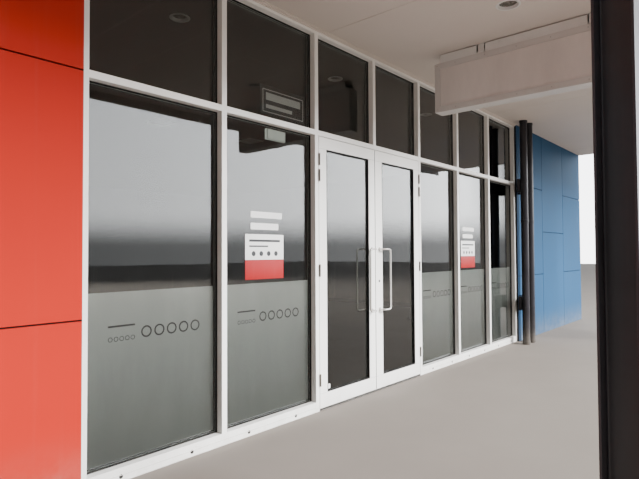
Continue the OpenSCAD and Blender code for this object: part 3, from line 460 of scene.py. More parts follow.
def opal(name, colour, roughness, glow=0.0, pebbled=False):
    """Faded plastic that light shines through, smooth or pebbled."""
    material, w, where = new_finish(name)
    fade = w.noise(w.stretched(where, (1.0, 1.0, 0.3)), 2.5, 6.0, 0.65)
    spots = w.noise(where, 40.0, 5.0, 0.7)
    body = w.mix(w.span(fade, 0.35, 0.7), shade(colour, 0.9), shade(colour, 1.06))
    body = w.mix(w.span(spots, 0.66, 0.74, 0.0, 0.35), body, shade(colour, 0.55))
    scale, depth = (260.0, 0.0004) if pebbled else (700.0, 0.00004)
    close_finish(w, {
        "Base Color": body,
        "Roughness": w.span(spots, 0.3, 0.7, roughness - 0.06, roughness + 0.08),
        "Normal": w.bump(depth, w.noise(where, scale, 2.0, 0.5)),
        "Emission Color": (0.9, 0.95, 0.85, 1), "Emission Strength": glow})
    return material


def row(*values, **more):
    """What a maker gets after the name of the finish."""
    return values, more


def paints(c):
    """Colour, roughness, scales of the fine and the cloudy grain, tone, depth of the grain,
    top of the ground dirt, its amount, streaks, radius of the edges and their wear."""
    return {
        # Inside the shop the walls take a near-black painted shade that stands for the unlit
        # interior.
        "wall_render": row(c.render, 0.85, 70.0, 0.9, 0.1, 0.0022, 0.7, 0.5, 0.16, 0.006, 0.0,
                           inside=(0.05, 0.05, 0.052)),
        "orange_panel": row(c.orange, 0.5, 900.0, 0.8, 0.035, 0.00003, 0.45, 0.3, 0.03, 0.0025,
                            0.1, shine=0.08),
        "blue_panel": row(c.blue, 0.55, 900.0, 0.8, 0.06, 0.00003, 0.45, 0.3, 0.03, 0.0025,
                          0.1, shine=0.04),
        "pale_panel": row(c.pale, 0.42, 900.0, 0.8, 0.03, 0.00003, 0.5, 0.3, 0.16, 0.0025, 0.0),
        "white_frame": row(c.white, 0.36, 1100.0, 2.0, 0.02, 0.00004, 0.22, 0.35, 0.0, 0.0012,
                           0.25, coat=0.1),
        "soffit_paint": row(c.soffit, 0.7, 240.0, 0.5, 0.045, 0.0002, 0.5, 0.0, 0.0, 0.003,
                            0.0),
        "charcoal_steel": row(c.charcoal, 0.34, 500.0, 2.5, 0.25, 0.0001, 0.5, 0.35, 0.04,
                              0.003, 0.35, bare=(0.12, 0.11, 0.10), coat=0.04, shine=0.25),
        # Posts: the pipes' charcoal steel lightened 2.2 times, as painted light on their shaded
        # faces.
        "post_paint": row(shade(c.charcoal, 2.2)[:3], 0.3, 500.0, 2.5, 0.2, 0.0001, 0.5, 0.3,
                          0.04, 0.003, 0.35, bare=(0.14, 0.13, 0.12), coat=0.2, shine=0.5),
        "roof_metal": row((0.46, 0.47, 0.47), 0.4, 700.0, 0.7, 0.06, 0.00004, 0.5, 0.0, 0.3,
                          0.002, 0.1),
        "hinge_bronze": row((0.12, 0.105, 0.09), 0.4, 800.0, 8.0, 0.2, 0.00008, 0.5, 0.35,
                            0.05, 0.001, 0.5, bare=(0.30, 0.20, 0.13)),
        "light_rim": row((0.74, 0.74, 0.72), 0.3, 900.0, 4.0, 0.03, 0.00003, 0.5, 0.0, 0.05,
                         0.001, 0.0, coat=0.3),
        "sign_edge": row((0.62, 0.60, 0.58), 0.45, 900.0, 1.5, 0.06, 0.00004, 0.5, 0.0, 0.12,
                         0.002, 0.2),
        "sealant_white": row((0.70, 0.69, 0.66), 0.6, 300.0, 9.0, 0.08, 0.0002, 0.12, 0.6,
                             0.05, 0.0005, 0.0),
        "label_white": row((0.78, 0.78, 0.76), 0.5, 900.0, 20.0, 0.02, 0.00002, 0.5, 0.0, 0.05,
                           0.0003, 0.0),
        "label_red": row((0.30, 0.008, 0.010), 0.5, 900.0, 20.0, 0.03, 0.00002, 0.5, 0.0, 0.05,
                         0.0003, 0.0),
        "label_dark": row((0.035, 0.036, 0.038), 0.5, 900.0, 20.0, 0.05, 0.00002, 0.5, 0.0,
                          0.05, 0.0003, 0.0),
        "joint_black": row((0.008, 0.008, 0.009), 0.8, 300.0, 5.0, 0.2, 0.00008, 0.5, 0.35,
                           0.05, 0.001, 0.0),
        "gasket_rubber": row((0.012, 0.012, 0.013), 0.6, 400.0, 6.0, 0.2, 0.0001, 0.8, 0.08,
                             0.0, 0.0008, 0.0, shine=0.2),
    }


METALS = {
    "bare_aluminium": row((0.62, 0.61, 0.60), 0.38, (0.03, 1.0, 1.0)),
    "fixing_steel": row((0.50, 0.49, 0.47), 0.35, (1.0, 1.0, 1.0)),
    "lock_metal": row((0.16, 0.16, 0.17), 0.32, (1.0, 0.1, 1.0)),
}
PLASTICS = {
    "exit_diffuser": row((0.55, 0.56, 0.46), 0.4, glow=0.5),
    "lamp_lens": row((0.10, 0.10, 0.085), 0.25, pebbled=True),
    "lamp_diffuser": row((0.66, 0.65, 0.62), 0.35, pebbled=True),
    "sign_skin": row((0.74, 0.69, 0.66), 0.4),
}


def finish(name):
    """The material of that name, made on its first use."""
    made = bpy.data.materials.get(name + "_finish")
    if made:
        return made
    colours, sizes = bpy.context.scene.shop_colours, bpy.context.scene.shop_sizes
    makers = {
        painted: paints(colours), brushed: METALS, opal: PLASTICS,
        # The pulls' second colour is the near-black painted reflection at their turned edges.
        polished: {"pull_steel": row((0.86, 0.84, 0.80), (0.05, 0.05, 0.05))},
        galvanised: {"galvanised": row()}, clear_glass: {"clear_glass": row()},
        frosted_film: {"frosted_film": row(colours.film)},
        floor_tiles: {"floor_tiles": row(sizes.tile)}, ceiling_board: {"ceiling_board": row()},
    }
    for maker, rows in makers.items():
        if name in rows:
            values, more = rows[name]
            return maker(name, *values, **more)
    raise KeyError(name)


# SHAPES
def settle(piece, body):
    """Smooths a finished piece up to its sharp edges and lets it ride on its body."""
    for polygon in piece.data.polygons:
        polygon.use_smooth = True
    piece.data.set_sharp_from_angle(angle=math.radians(35))
    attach(piece, body)


def show(name, data):
    """Puts a new object in the scene."""
    made = bpy.data.objects.new(name, data)
    bpy.context.scene.collection.objects.link(made)
    return made


class Solid:
    """Gathers closed shapes into one mesh, in millimetres from the front's left end."""

    def __init__(self):
        self.bm = bmesh.new()

    def block(self, low, high, soften=0.0):
        low, high = Vector(low), Vector(high)
        verts = bmesh.ops.create_cube(self.bm, size=1.0)["verts"]
        for v in verts:
            v.co = (low + high) / 2 + Vector(a * b for a, b in zip(v.co, high - low))
        if soften:
            edges = list({e for v in verts for e in v.link_edges})
            bmesh.ops.bevel(self.bm, geom=edges, offset=soften, segments=2, profile=0.5,
                            affect="EDGES")

    def ring(self, rect, width, y0, y1):
        """A mitred rectangular frame facing the street."""
        loops = [[self.bm.verts.new((x, y, z)) for x, z in corners_of(shrunk(rect, by))]
                 for y in (y0, y1) for by in (0, width)]
        for a, b in ((0, 1), (2, 3), (0, 2), (1, 3)):
            for i in range(4):
                j = (i + 1) % 4
                self.bm.faces.new((loops[a][i], loops[a][j], loops[b][j], loops[b][i]))

    def lathe(self, profile, centre, facing, steps=32, closed=False):
        """A profile of (radius, height) pairs turned about a line through the centre."""
        turn = Vector((0, 0, 1)).rotation_difference(Vector(facing))
        rows = []
        for radius, height in profile:
            count = 1 if radius == 0 else steps
            rows.append([self.bm.verts.new(Vector(centre) + turn @ Vector((
                radius * math.cos(math.tau * i / steps),
                radius * math.sin(math.tau * i / steps), height))) for i in range(count)])
        pairs = list(zip(rows, rows[1:])) + ([(rows[-1], rows[0])] if closed else [])
        for a, b in pairs:
            for i in range(steps):
                j = (i + 1) % steps
                corners = [a[i % len(a)], a[j % len(a)], b[j % len(b)], b[i % len(b)]]
                corners = [v for n, v in enumerate(corners) if v not in corners[:n]]
                if len(corners) > 2:
                    self.bm.faces.new(corners)

    def tube(self, inner, outer, height, centre, facing, steps):
        """A short length of square-edged tube."""
        self.lathe([(inner, 0), (outer, 0), (outer, height), (inner, height)], centre, facing,
                   steps, True)

    def strip(self, outline, start, end):
        """An outline of (y, z) pairs drawn out between two places along the front."""
        ends = [[self.bm.verts.new((x, y, z)) for y, z in outline] for x in (start, end)]
        for end_face in ends:
            self.bm.faces.new(end_face)
        for i in range(len(outline)):
            j = (i + 1) % len(outline)
            self.bm.faces.new((ends[0][i], ends[0][j], ends[1][j], ends[1][i]))

    def make(self, name, material, slot, body="building"):
        for v in self.bm.verts:
            v.co = at(*v.co)
        bmesh.ops.recalc_face_normals(self.bm, faces=self.bm.faces)
        mesh = bpy.data.meshes.new(name)
        self.bm.to_mesh(mesh)
        self.bm.free()
        mesh.materials.append(finish(material))
        settle(show(name, mesh), body)


def shrunk(rect, by):
    return (rect[0] + by, rect[1] - by, rect[2] + by, rect[3] - by)


def corners_of(rect):
    x0, x1, z0, z1 = rect
    return ((x0, z0), (x1, z0), (x1, z1), (x0, z1))


def blocks(name, material, slot, boxes, soften=0.0, body="building"):
    """A piece made of plain blocks, each given by its lowest and its highest corner."""
    solid = Solid()
    for low, high in boxes:
        solid.block(low, high, soften)
    solid.make(name, material, slot, body)


def dress(material, *nodes):
    """Gives CAD nodes their finish."""
    for node in nodes:
        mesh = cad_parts[node].data
        mesh.materials.clear()
        mesh.materials.append(finish(material))


# WHAT REPEATS OR FOLLOWS A PATH
def wire_fixings(w, given):
    def disc(sides, radius, height, lift):
        made = w.add("GeometryNodeMeshCylinder", {"Vertices": sides, "Radius": radius,
                                                  "Depth": height})
        up = w.math("ADD", lift, w.math("MULTIPLY", height, 0.5))
        shift = w.add("ShaderNodeCombineXYZ", {2: up}).outputs[0]
        return w.add("GeometryNodeTransform", {"Geometry": made.outputs["Mesh"],
                                               "Translation": shift}).outputs[0]
    washer = disc(20, given["Washer Radius"], given["Washer Height"], 0.0)
    head = disc(given["Head Sides"], given["Head Radius"], given["Head Height"],
                given["Washer Height"])
    stud = disc(12, given["Stud Radius"], given["Stud Height"], 0.0)
    joined = w.add("GeometryNodeJoinGeometry")
    for part in (washer, head, stud):
        w.tree.links.new(part, joined.inputs[0])
    turned = w.add("FunctionNodeAlignRotationToVector", {"Vector": given["Facing"]},
                   axis="Z").outputs[0]
    upright = w.add("GeometryNodeTransform", {"Geometry": joined.outputs[0],
                                              "Rotation": turned}).outputs[0]
    spin = w.add("FunctionNodeRandomValue", {2: 0.0, 3: math.tau, "Seed": given["Seed"]},
                 data_type="FLOAT").outputs[1]
    about = w.add("FunctionNodeAxisAngleToRotation", {"Axis": given["Facing"],
                                                      "Angle": spin}).outputs[0]
    return w.add("GeometryNodeInstanceOnPoints", {
        "Points": given["Geometry"], "Instance": upright, "Rotation": about}).outputs[0]


def wire_bead(w, given):
    line = w.add("GeometryNodeMeshToCurve", {0: given["Geometry"]}).outputs[0]
    spaced = w.add("GeometryNodeResampleCurve", {"Curve": line, "Length": given["Step"]},
                   mode="LENGTH")
    wobble = w.add("ShaderNodeTexNoise", {"Scale": 30.0})
    centred = w.add("ShaderNodeVectorMath", {0: wobble.outputs["Color"],
                                             1: (0.5, 0.5, 0.5)}, operation="SUBTRACT")
    shift = w.add("ShaderNodeVectorMath", {0: centred.outputs[0], "Scale": given["Wobble"]},
                  operation="SCALE")
    moved = w.add("GeometryNodeSetPosition", {"Geometry": spaced.outputs[0],
                                              "Offset": shift.outputs[0]}).outputs[0]
    ring = w.add("GeometryNodeCurvePrimitiveCircle", {"Resolution": 8,
                                                      "Radius": given["Radius"]}).outputs[0]
    return w.add("GeometryNodeCurveToMesh", {"Curve": moved, "Profile Curve": ring,
                                             "Fill Caps": True}).outputs[0]


def wire_ribs(w, given):
    line = w.add("GeometryNodeMeshLine", {"Count": given["Count"], "Offset": given["Step"]},
                 mode="OFFSET").outputs[0]
    rod = w.add("GeometryNodeMeshCylinder", {"Vertices": 10, "Radius": given["Radius"],
                                             "Depth": given["Length"]}).outputs["Mesh"]
    turned = w.add("FunctionNodeAlignRotationToVector", {"Vector": given["Along"]},
                   axis="Z").outputs[0]
    laid = w.add("GeometryNodeTransform", {"Geometry": rod, "Rotation": turned}).outputs[0]
    ribs = w.add("GeometryNodeInstanceOnPoints", {"Points": line, "Instance": laid}).outputs[0]
    return w.add("GeometryNodeInstanceOnPoints", {"Points": given["Geometry"],
                                                  "Instance": ribs}).outputs[0]


PATTERNS = {
    "rows_of_fixings": (wire_fixings, [
        ("Facing", "Vector", (0.0, 0.0, 1.0)), ("Washer Radius", "Float", 0.008),
        ("Washer Height", "Float", 0.001), ("Head Radius", "Float", 0.005),
        ("Head Height", "Float", 0.004), ("Head Sides", "Int", 6),
        ("Stud Radius", "Float", 0.001), ("Stud Height", "Float", 0.001),
        ("Seed", "Int", 0)]),
    "run_bead": (wire_bead, [
        ("Radius", "Float", 0.003), ("Step", "Float", 0.04), ("Wobble", "Float", 0.001)]),
    "rows_of_ribs": (wire_ribs, [
        ("Count", "Int", 5), ("Step", "Vector", (0.0, 0.01, 0.0)),
        ("Along", "Vector", (1.0, 0.0, 0.0)), ("Radius", "Float", 0.002),
        ("Length", "Float", 1.0)]),
}


def pattern_tree(name):
    """A geometry node tree, built once. It ends in real geometry with its material set."""
    tree = bpy.data.node_groups.get(name)
    if tree is None:
        wire, inputs = PATTERNS[name]
        tree = bpy.data.node_groups.new(name, "GeometryNodeTree")
        socket_list(tree, "INPUT", [("Geometry", "Geometry", None)] + inputs
                    + [("Material", "Material", None)])
        socket_list(tree, "OUTPUT", [("Geometry", "Geometry", None)])
        w = Wiring(tree)
        given = w.add("NodeGroupInput").outputs
        real = w.add("GeometryNodeRealizeInstances", {0: wire(w, given)}).outputs[0]
        dressed = w.add("GeometryNodeSetMaterial", {"Geometry": real,
                                                    "Material": given["Material"]})
        w.feed(w.add("NodeGroupOutput").inputs[0], dressed.outputs[0])
    return tree


def grow(name, pattern, points, values, material, lines=()):
    """Runs a geometry tree on points, in millimetres, and keeps the plain mesh."""
    start = bpy.data.meshes.new(name + "_start")
    start.from_pydata([at(*p) for p in points], list(lines), [])
    piece = show(name, start)
    modifier = piece.modifiers.new("grow", "NODES")
    modifier.node_group = pattern_tree(pattern)
    values = {**values, "Material": finish(material)}
    for item in modifier.node_group.interface.items_tree:
        if item.in_out == "INPUT" and item.name in values:
            modifier[item.identifier] = values[item.name]
    settled = piece.evaluated_get(bpy.context.evaluated_depsgraph_get())
    mesh = bpy.data.meshes.new_from_object(settled)
    piece.modifiers.remove(modifier)
    piece.data = mesh
    settle(piece, "building")


def fixings(name, points, facing, material, head=(5, 4, 6), washer=(8, 1), stud=(1, 1)):
    """Rows of screws, rivets or bolts: radius and height in millimetres, and the head's sides."""
    grow(name, "rows_of_fixings", points, {
        "Facing": facing, "Head Radius": head[0] / 1000, "Head Height": head[1] / 1000,
        "Head Sides": head[2], "Washer Radius": washer[0] / 1000,
        "Washer Height": washer[1] / 1000, "Stud Radius": stud[0] / 1000,
        "Stud Height": stud[1] / 1000, "Seed": 1}, material)


def bead_run(name, runs, radius, material, wobble, step, closed=False):
    """Sealant or weld along runs of corners, in millimetres."""
    points, lines = [], []
    for run in runs:
        first = len(points)
        points += run
        lines += [(first + i, first + i + 1) for i in range(len(run) - 1)]
        if closed:
            lines.append((len(points) - 1, first))
    grow(name, "run_bead", points, {
        "Radius": radius / 1000, "Step": step / 1000, "Wobble": wobble / 1000}, material,
        lines)


class ShopOperator(bpy.types.Operator):
    """Base of the operators that make the parts."""

    bl_options = {"REGISTER", "UNDO"}

    def execute(self, context):
        self.build(context.scene.shop_sizes)
        return {"FINISHED"}


# WALLS
class SHOP_OT_walls(ShopOperator):
    """Finish the walls, the floor and the ceiling and add the skirting."""

    bl_idname = "shop.walls"
    bl_label = "Walls"

    def build(self, sizes):
        dress("wall_render", "left_party_wall", "right_party_wall", "rear_wall",
              "front_wall_left", "front_wall_right", "front_wall_over")
        dress("floor_tiles", "shop_floor")
        dress("ceiling_board", "shop_ceiling")
        thick, top = 12, FLOOR + 100
        ends, sides = (SIDE_IN, WIDTH - SIDE_IN), (WALL_BACK + thick, REAR_IN - thick)
        boxes = [((x0, WALL_BACK, FLOOR), (x1, sides[0], top))
                 for x0, x1 in ((ends[0], OPENING[0]), (OPENING[1], ends[1]))]
        boxes += [((x, sides[0], FLOOR), (x + thick, sides[1], top))
                  for x in (ends[0], ends[1] - thick)]
        boxes.append(((ends[0], sides[1], FLOOR), (ends[1], REAR_IN, top)))
        blocks("skirting", "label_dark", "charcoal_steel", boxes, 2)


# CLADDING
PANEL_W, JOINT_HALF = 1150, 5
LEVEL_JOINTS, STAGGERED_JOINT = (990, 2410), 1700


def cladding_joints():
    """Edges of the open joints: x0, x1, z0, z1 of each."""
    half = JOINT_HALF
    upright = [PANEL_W, 2 * PANEL_W, WIDTH - 2 * PANEL_W, WIDTH - PANEL_W]
    joints = [(x - half, x + half, z0, z1) for x in upright
              for z0, z1 in ((0, SOFFIT), (UPPER_PANELS, PARAPET))]
    joints += [(x - half, x + half, UPPER_PANELS, PARAPET)
               for x in (OPENING[0] + 2 * half + i * PANEL_W for i in range(1, 6))]
    columns = ((0, upright[0]), (upright[0], upright[1]), (upright[1], OPENING[0]),
               (OPENING[1], upright[2]), (upright[3], WIDTH))
    joints += [(x0 + half, x1 - half, z - half, z + half) for x0, x1 in columns
               for z in LEVEL_JOINTS]
    joints.append((upright[2] + half, upright[3] - half, STAGGERED_JOINT - half,
                   STAGGERED_JOINT + half))
    return joints


class SHOP_OT_cladding(ShopOperator):
    """Finish the coloured panels and fill their joints with dark strips."""

    bl_idname = "shop.cladding"
    bl_label = "Cladding"

    def build(self, sizes):
        dress("orange_panel", "left_cladding")
        dress("blue_panel", "right_cladding")
        dress("pale_panel", "upper_cladding")
        recess, back = sizes.joint_recess * 1000, FRAME_Y - 0.4
        blocks("joint_strips", "joint_black", "charcoal_steel",
               [((x0 + 0.2, recess, z0 + 0.2), (x1 - 0.2, back, z1 - 0.2))
                for x0, x1, z0, z1 in cladding_joints()])
        # Thin black strips over the cladding's returns at both ends of the opening, which darken
        # those returns.
        blocks("dark_return_strips", "gasket_rubber", "charcoal_steel",
               [((x, 3, 2), (x + 1.2, FRAME_Y - 0.2, SOFFIT - 22))
                for x in (OPENING[0] + 0.1, OPENING[1] - 1.3)], 0.3)


# SHOPFRONT
class SHOP_OT_shopfront(ShopOperator):
    """Finish the frames and glass and add beads, gaskets, plugs, drain covers and sealant."""

    bl_idname = "shop.shopfront"
    bl_label = "Shopfront"

    def build(self, sizes):
        dress("white_frame", "shopfront_left", "shopfront_right", "shopfront_over_doors",
              "sub_sills")
        dress("clear_glass", "shopfront_glass")
        dress("soffit_paint", "head_trim")
        bead, gasket = sizes.bead_w * 1000, sizes.gasket_w * 1000
        beads, gaskets = Solid(), Solid()
        for rect in PANES:
            gaskets.ring(rect, gasket, GLASS_FRONT - 10, GLASS_FRONT - 0.2)
            beads.ring(rect, bead, GLASS_BACK + 0.2, GLASS_BACK + 17)
            gaskets.ring(shrunk(rect, bead), 4, GLASS_BACK + 0.2, GLASS_BACK + 6)
        beads.make("glazing_beads", "white_frame", "white_frame")
        gaskets.make("glazing_gaskets", "gasket_rubber", "charcoal_steel")

        half, plug_z = FRAME_W / 2, 33
        sub_sill = ((OPENING[0], JAMBS[0] - half), (JAMBS[1] + half, OPENING[1]))
        plugs = []
        for x0, x1 in sub_sill:
            count = int((x1 - x0) / 1000 / sizes.plug_pitch)
            step = (x1 - x0) / count
            plugs += [(x0 + step * (i + 0.5), FRAME_Y, plug_z) for i in range(count)]
        fixings("sill_plugs", plugs, STREET, "gasket_rubber", (10, 1.6, 20),
                (13, 0.8))
        drains = [x0 + (x1 - x0) * part for x0, x1 in BAYS for part in (0.22, 0.78)]
        blocks("drain_covers", "white_frame", "white_frame",
               [((x - 15, FRAME_Y - 1.6, 58), (x + 15, FRAME_Y - 0.1, 64)) for x in drains],
               0.5)
        runs = [[(x0, FRAME_Y - out, z), (x1, FRAME_Y - out, z)]
                for out, z in ((1, 40.5), (2, 2.5)) for x0, x1 in sub_sill]
        bead_run("sill_sealant", runs, 2.2, "sealant_white", 2.0, 25)


# FILMS AND BOARDS
# Rows of five rings: distance of the first from the bar's start, pitch, radius and height
RING_ROWS = ((15, 37, 15, 842), (258, 93, 38, 868))
# Plain bars: foot, top and length
MARK_X, MARK_BAR = 157, (914, 926, 178)
BARS_OVER = ((1548, 1600, 300), (1640, 1690, 340))
BARS_ON = ((1452, 1470, 332), (1412, 1424, 200))
BOARD_X, BOARD_W, WHITE_FIELD, RED_FIELD = (4908, 8560), 412, (1312, 1512), (1160, 1311)
UPPER_BOARD, UPPER_LINE = (5075, 5585, 2478, 2712), (5100, 5572, 2495, 2682)
UPPER_BARS = ((2595, 2655, 400), (2530, 2560, 300))


class SHOP_OT_films(ShopOperator):
    """Put the frosted films and their marks behind the glass and the blank boards on it."""

    bl_idname = "shop.films"
    bl_label = "Films and Boards"

    def build(self, sizes):
        back, front = GLASS_BACK, GLASS_FRONT
        films, marks = Solid(), Solid()
        for x0, x1 in BAYS:
            films.block((x0 + 17, back + 0.6, SILL + 22),
                        (x1 - 26, back + 0.9, sizes.film_top * 1000))
            x, (z0, z1, wide) = x0 + MARK_X, MARK_BAR
            marks.block((x, back + 0.2, z0), (x + wide, back + 0.4, z1))
            for first, pitch, r, z in RING_ROWS:
                for k in range(5):
                    marks.tube(r * 0.72, r, 0.2, (x + first + k * pitch, back + 0.4, z),
                               STREET, 28)
        films.make("frosted_films", "frosted_film", "glazing")
        marks.make("film_marks", "label_dark", "charcoal_steel")

        white, red, dark = Solid(), Solid(), Solid()
        for x in BOARD_X:
            for field, (z0, z1) in ((white, WHITE_FIELD), (red, RED_FIELD)):
                field.block((x, front - 2.2, z0), (x + BOARD_W, front - 0.2, z1), 0.4)
            for z0, z1, wide in BARS_OVER:
                white.block((x + 56, front - 0.6, z0), (x + 56 + wide, front - 0.2, z1))
            for z0, z1, wide in BARS_ON:
                dark.block((x + 40, front - 2.5, z0), (x + 40 + wide, front - 2.2, z1))
            for k in range(4):
                dark.lathe([(0, 0), (20, 0), (20, 0.3), (0, 0.3)],
                           (x + 86 + k * 80, front - 2.2, 1360), STREET, 24)
        white.make("blank_boards", "label_white", "white_frame")
        dark.make("board_bars", "label_dark", "charcoal_steel")
        red.make("board_bands", "label_red", "orange_panel")

        x0, x1, z0, z1 = UPPER_BOARD
        blocks("upper_board", "label_dark", "charcoal_steel",
               [((x0, back + 0.6, z0), (x1, back + 4.6, z1))], 0.6)
        edge, x = Solid(), UPPER_LINE[0] + 36
        edge.ring(UPPER_LINE, 7, back + 0.1, back + 0.5)
        for z0, z1, wide in UPPER_BARS:
            edge.block((x, back + 0.1, z0), (x + wide, back + 0.5, z1))
        edge.make("upper_board_line", "label_white", "white_frame")


# DOORS
LEAF_T, LEAF_GLASS = 45, reach("left_door_glass", 1)
PULL_R, PULL_FIXINGS = 9.5, (798, 1398)
HINGE_MIDDLES, HINGE_HALF, PIN_OUT, PIN_FRONT = (265, 1210, 2040, 2180), 50, 3, 9.5


class SHOP_OT_doors(ShopOperator):
    """Finish both leaves and add beads, gaskets, roses, joint lines, seals and hinge caps."""

    bl_idname = "shop.doors"
    bl_label = "Doors"

    def build(self, sizes):
        dress("white_frame", "left_door", "right_door")
        dress("clear_glass", "left_door_glass", "right_door_glass")
        dress("pull_steel", "left_door_pulls", "right_door_pulls")
        dress("hinge_bronze", "left_door_hinges", "right_door_hinges", "jamb_hinges")
        dress("lock_metal", "right_door_lock")
        dress("bare_aluminium", "door_threshold")
        bead, y, front, back = sizes.bead_w * 1000, FRAME_Y, *LEAF_GLASS
        for name, rect in LEAVES.items():
            beads, gaskets, roses = Solid(), Solid(), Solid()
            beads.ring(rect, bead, back + 0.2, y + 42)
            gaskets.ring(rect, bead, y + 3, front - 0.2)
            gaskets.ring(shrunk(rect, bead), 4, back + 0.2, y + 31)
            beads.make(name + "_beads", "white_frame", "white_frame", name)
            gaskets.make(name + "_gaskets", "gasket_rubber", "charcoal_steel", name)
            pulls = reach(name + "_pulls", 0)
            fix_x = pulls[1] - PULL_R if name == "left_door" else pulls[0] + PULL_R
            for z in PULL_FIXINGS:
                for face, facing in ((y, STREET), (y + LEAF_T, REAR)):
                    roses.lathe([(9.8, 0), (19, 0), (19, 2), (17.5, 3.2), (10.6, 3.4),
                                 (9.8, 3)], (fix_x, face, z), facing, 40, True)
            roses.make(name + "_roses", "pull_steel", "pull_steel", name)
            x0, x1 = reach(name, 0)
            blocks(name + "_joint_lines", "joint_black", "charcoal_steel",
                   [((a, y - 0.15, z - 0.5), (b, y + 0.1, z + 0.5)) for z in rect[2:]
                    for a, b in ((x0 + 1, rect[0]), (rect[1], x1 - 1))], body=name)
        left_edge, right_edge = reach("left_door", 0)[1], reach("right_door", 0)[0]
        for name, x0, x1 in (("left_door", left_edge, left_edge + 2.4),
                             ("right_door", right_edge - 0.8, right_edge)):
            blocks(name + "_meeting_seal", "gasket_rubber", "charcoal_steel",
                   [((x0, y + 0.3, LEAF_LOW + 4), (x1, y + 20, LEAF_TOP - 4))], body=name)
        lock_x, lock_z = (sum(reach("right_door_lock", axis)) / 2 for axis in (0, 2))
        lock_y = reach("right_door_lock", 1)
        blocks("key_slots", "joint_black", "lock_metal",
               [((lock_x - 1.2, face - 0.3, lock_z - 5), (lock_x + 1.2, face + 0.3, lock_z + 5))
                for face in (lock_y[0] - 0.2, lock_y[1] + 0.2)], 0.2, "right_door")
        for name, x in (("left_door", LEAF_LEFT - PIN_OUT), ("right_door", LEAF_RIGHT + PIN_OUT)):
            caps = Solid()
            for middle in HINGE_MIDDLES:
                for side in (-1, 1):
                    caps.lathe([(0, 0), (6.6, 0), (6.9, 1.2), (5.5, 3), (3, 4), (0, 4.3)],
                               (x, y - PIN_FRONT, middle + side * HINGE_HALF), (0, 0, side),
                               20)
            caps.make(name + "_pin_caps", "hinge_bronze", "hinge_bronze")
        top = reach("door_threshold", 2)[1]
        grow("threshold_ribs", "rows_of_ribs", [(sum(JAMBS) / 2, y + 22, top)], {
            "Count": 9, "Step": (0, 0.009, 0), "Along": (1, 0, 0), "Radius": 0.0016,
            "Length": 1.7}, "bare_aluminium")
        blocks("leaf_label", "label_white", "white_frame",
               [((LEAF_LEFT + 114, front - 0.5, 165), (LEAF_LEFT + 158, front - 0.2, 205))],
               body="left_door")


# AWNING
RIB_PITCH, RIB_H = 406, 45
AWNING_END, AWNING_FALL, AWNING_SCREWS = 4, 75 / 2700, (60, 900, 1780, 2640)


def rib_places(start, end):
    """Middles of a metal sheet's ribs, centred between its two edges."""
    count = int((end - start - 60) / RIB_PITCH)
    first = (start + end - count * RIB_PITCH) / 2
    return [first + RIB_PITCH * i for i in range(count + 1)]


def sheet_screws(name, xs, front, places, fall, head, washer):
    """Screws on the ribs of a metal sheet that falls towards the rear from its front edge."""
    y, z = front
    cos, sin = math.cos(math.atan(fall)), math.sin(math.atan(fall))
    points = [(x, y + along * cos + RIB_H * sin, z - along * sin + RIB_H * cos)
              for x in xs for along in places]
    fixings(name, points, (0, sin, cos), "fixing_steel", head, washer)


class SHOP_OT_awning(ShopOperator):
    """Finish the awning and add cover strips, rivets, drip edge, flashing and roof screws."""

    bl_idname = "shop.awning"
    bl_label = "Awning"

    def build(self, sizes):
        dress("soffit_paint", "awning_soffit")
        dress("pale_panel", "awning_fascia", "awning_ends")
        dress("galvanised", "awning_rafters", "awning_gutter")
        dress("roof_metal", "awning_roof")
        dress("charcoal_steel", "awning_beam")
        pitch, face = sizes.strip_pitch * 1000, -AWNING - 0.1
        xs = [i * pitch for i in range(1, int(WIDTH / pitch) + 1) if i * pitch < WIDTH - 200]
        low, high = reach("awning_fascia", 2)
        blocks("fascia_strips", "pale_panel", "pale_panel",
               [((x - 30, face - 1.5, low + 4), (x + 30, face, high - 4)) for x in xs], 0.5)
        rivets = [(x + dx, face - 1.5, z) for x in xs for dx in (-18, 18)
                  for z in range(int(low) + 36, int(high) - 20, 105)]
        fixings("fascia_rivets", rivets, STREET, "sign_edge", (3.2, 1.4, 12),
                (4.6, 0.5))
        drip = Solid()
        drip.strip([(face, low), (-AWNING - 6, low - 3), (-AWNING - 6, low + 4),
                    (face, low + 8)], 0, WIDTH)
        drip.make("fascia_drip", "pale_panel", "pale_panel")
        y, z = AWNING_END - AWNING, reach("awning_rafters", 2)[1]
        sheet_screws("awning_roof_screws", rib_places(AWNING_END, WIDTH - AWNING_END), (y, z),
                     AWNING_SCREWS, AWNING_FALL, (5, 5, 6), (9, 2))
        flashing = Solid()
        flashing.strip([(y, z + 46), (y + 46, z + 48), (y + 136, z + 45), (y + 136, z + 43),
                        (y + 46, z + 45.6), (y + 1, z + 43.6)], AWNING_END,
                       WIDTH - AWNING_END)
        flashing.make("fascia_flashing", "pale_panel", "pale_panel")


# POSTS
BASE_TOP, ANCHOR_OUT = 20, 130
CAP_TOP, CAP_BOLTS = 18, (60, 42)
# The H section: half its depth and width, half its web, and the flange's inner face
HALF_D, HALF_W, HALF_WEB, FLANGE = 101.5, 76, 3.5, 66


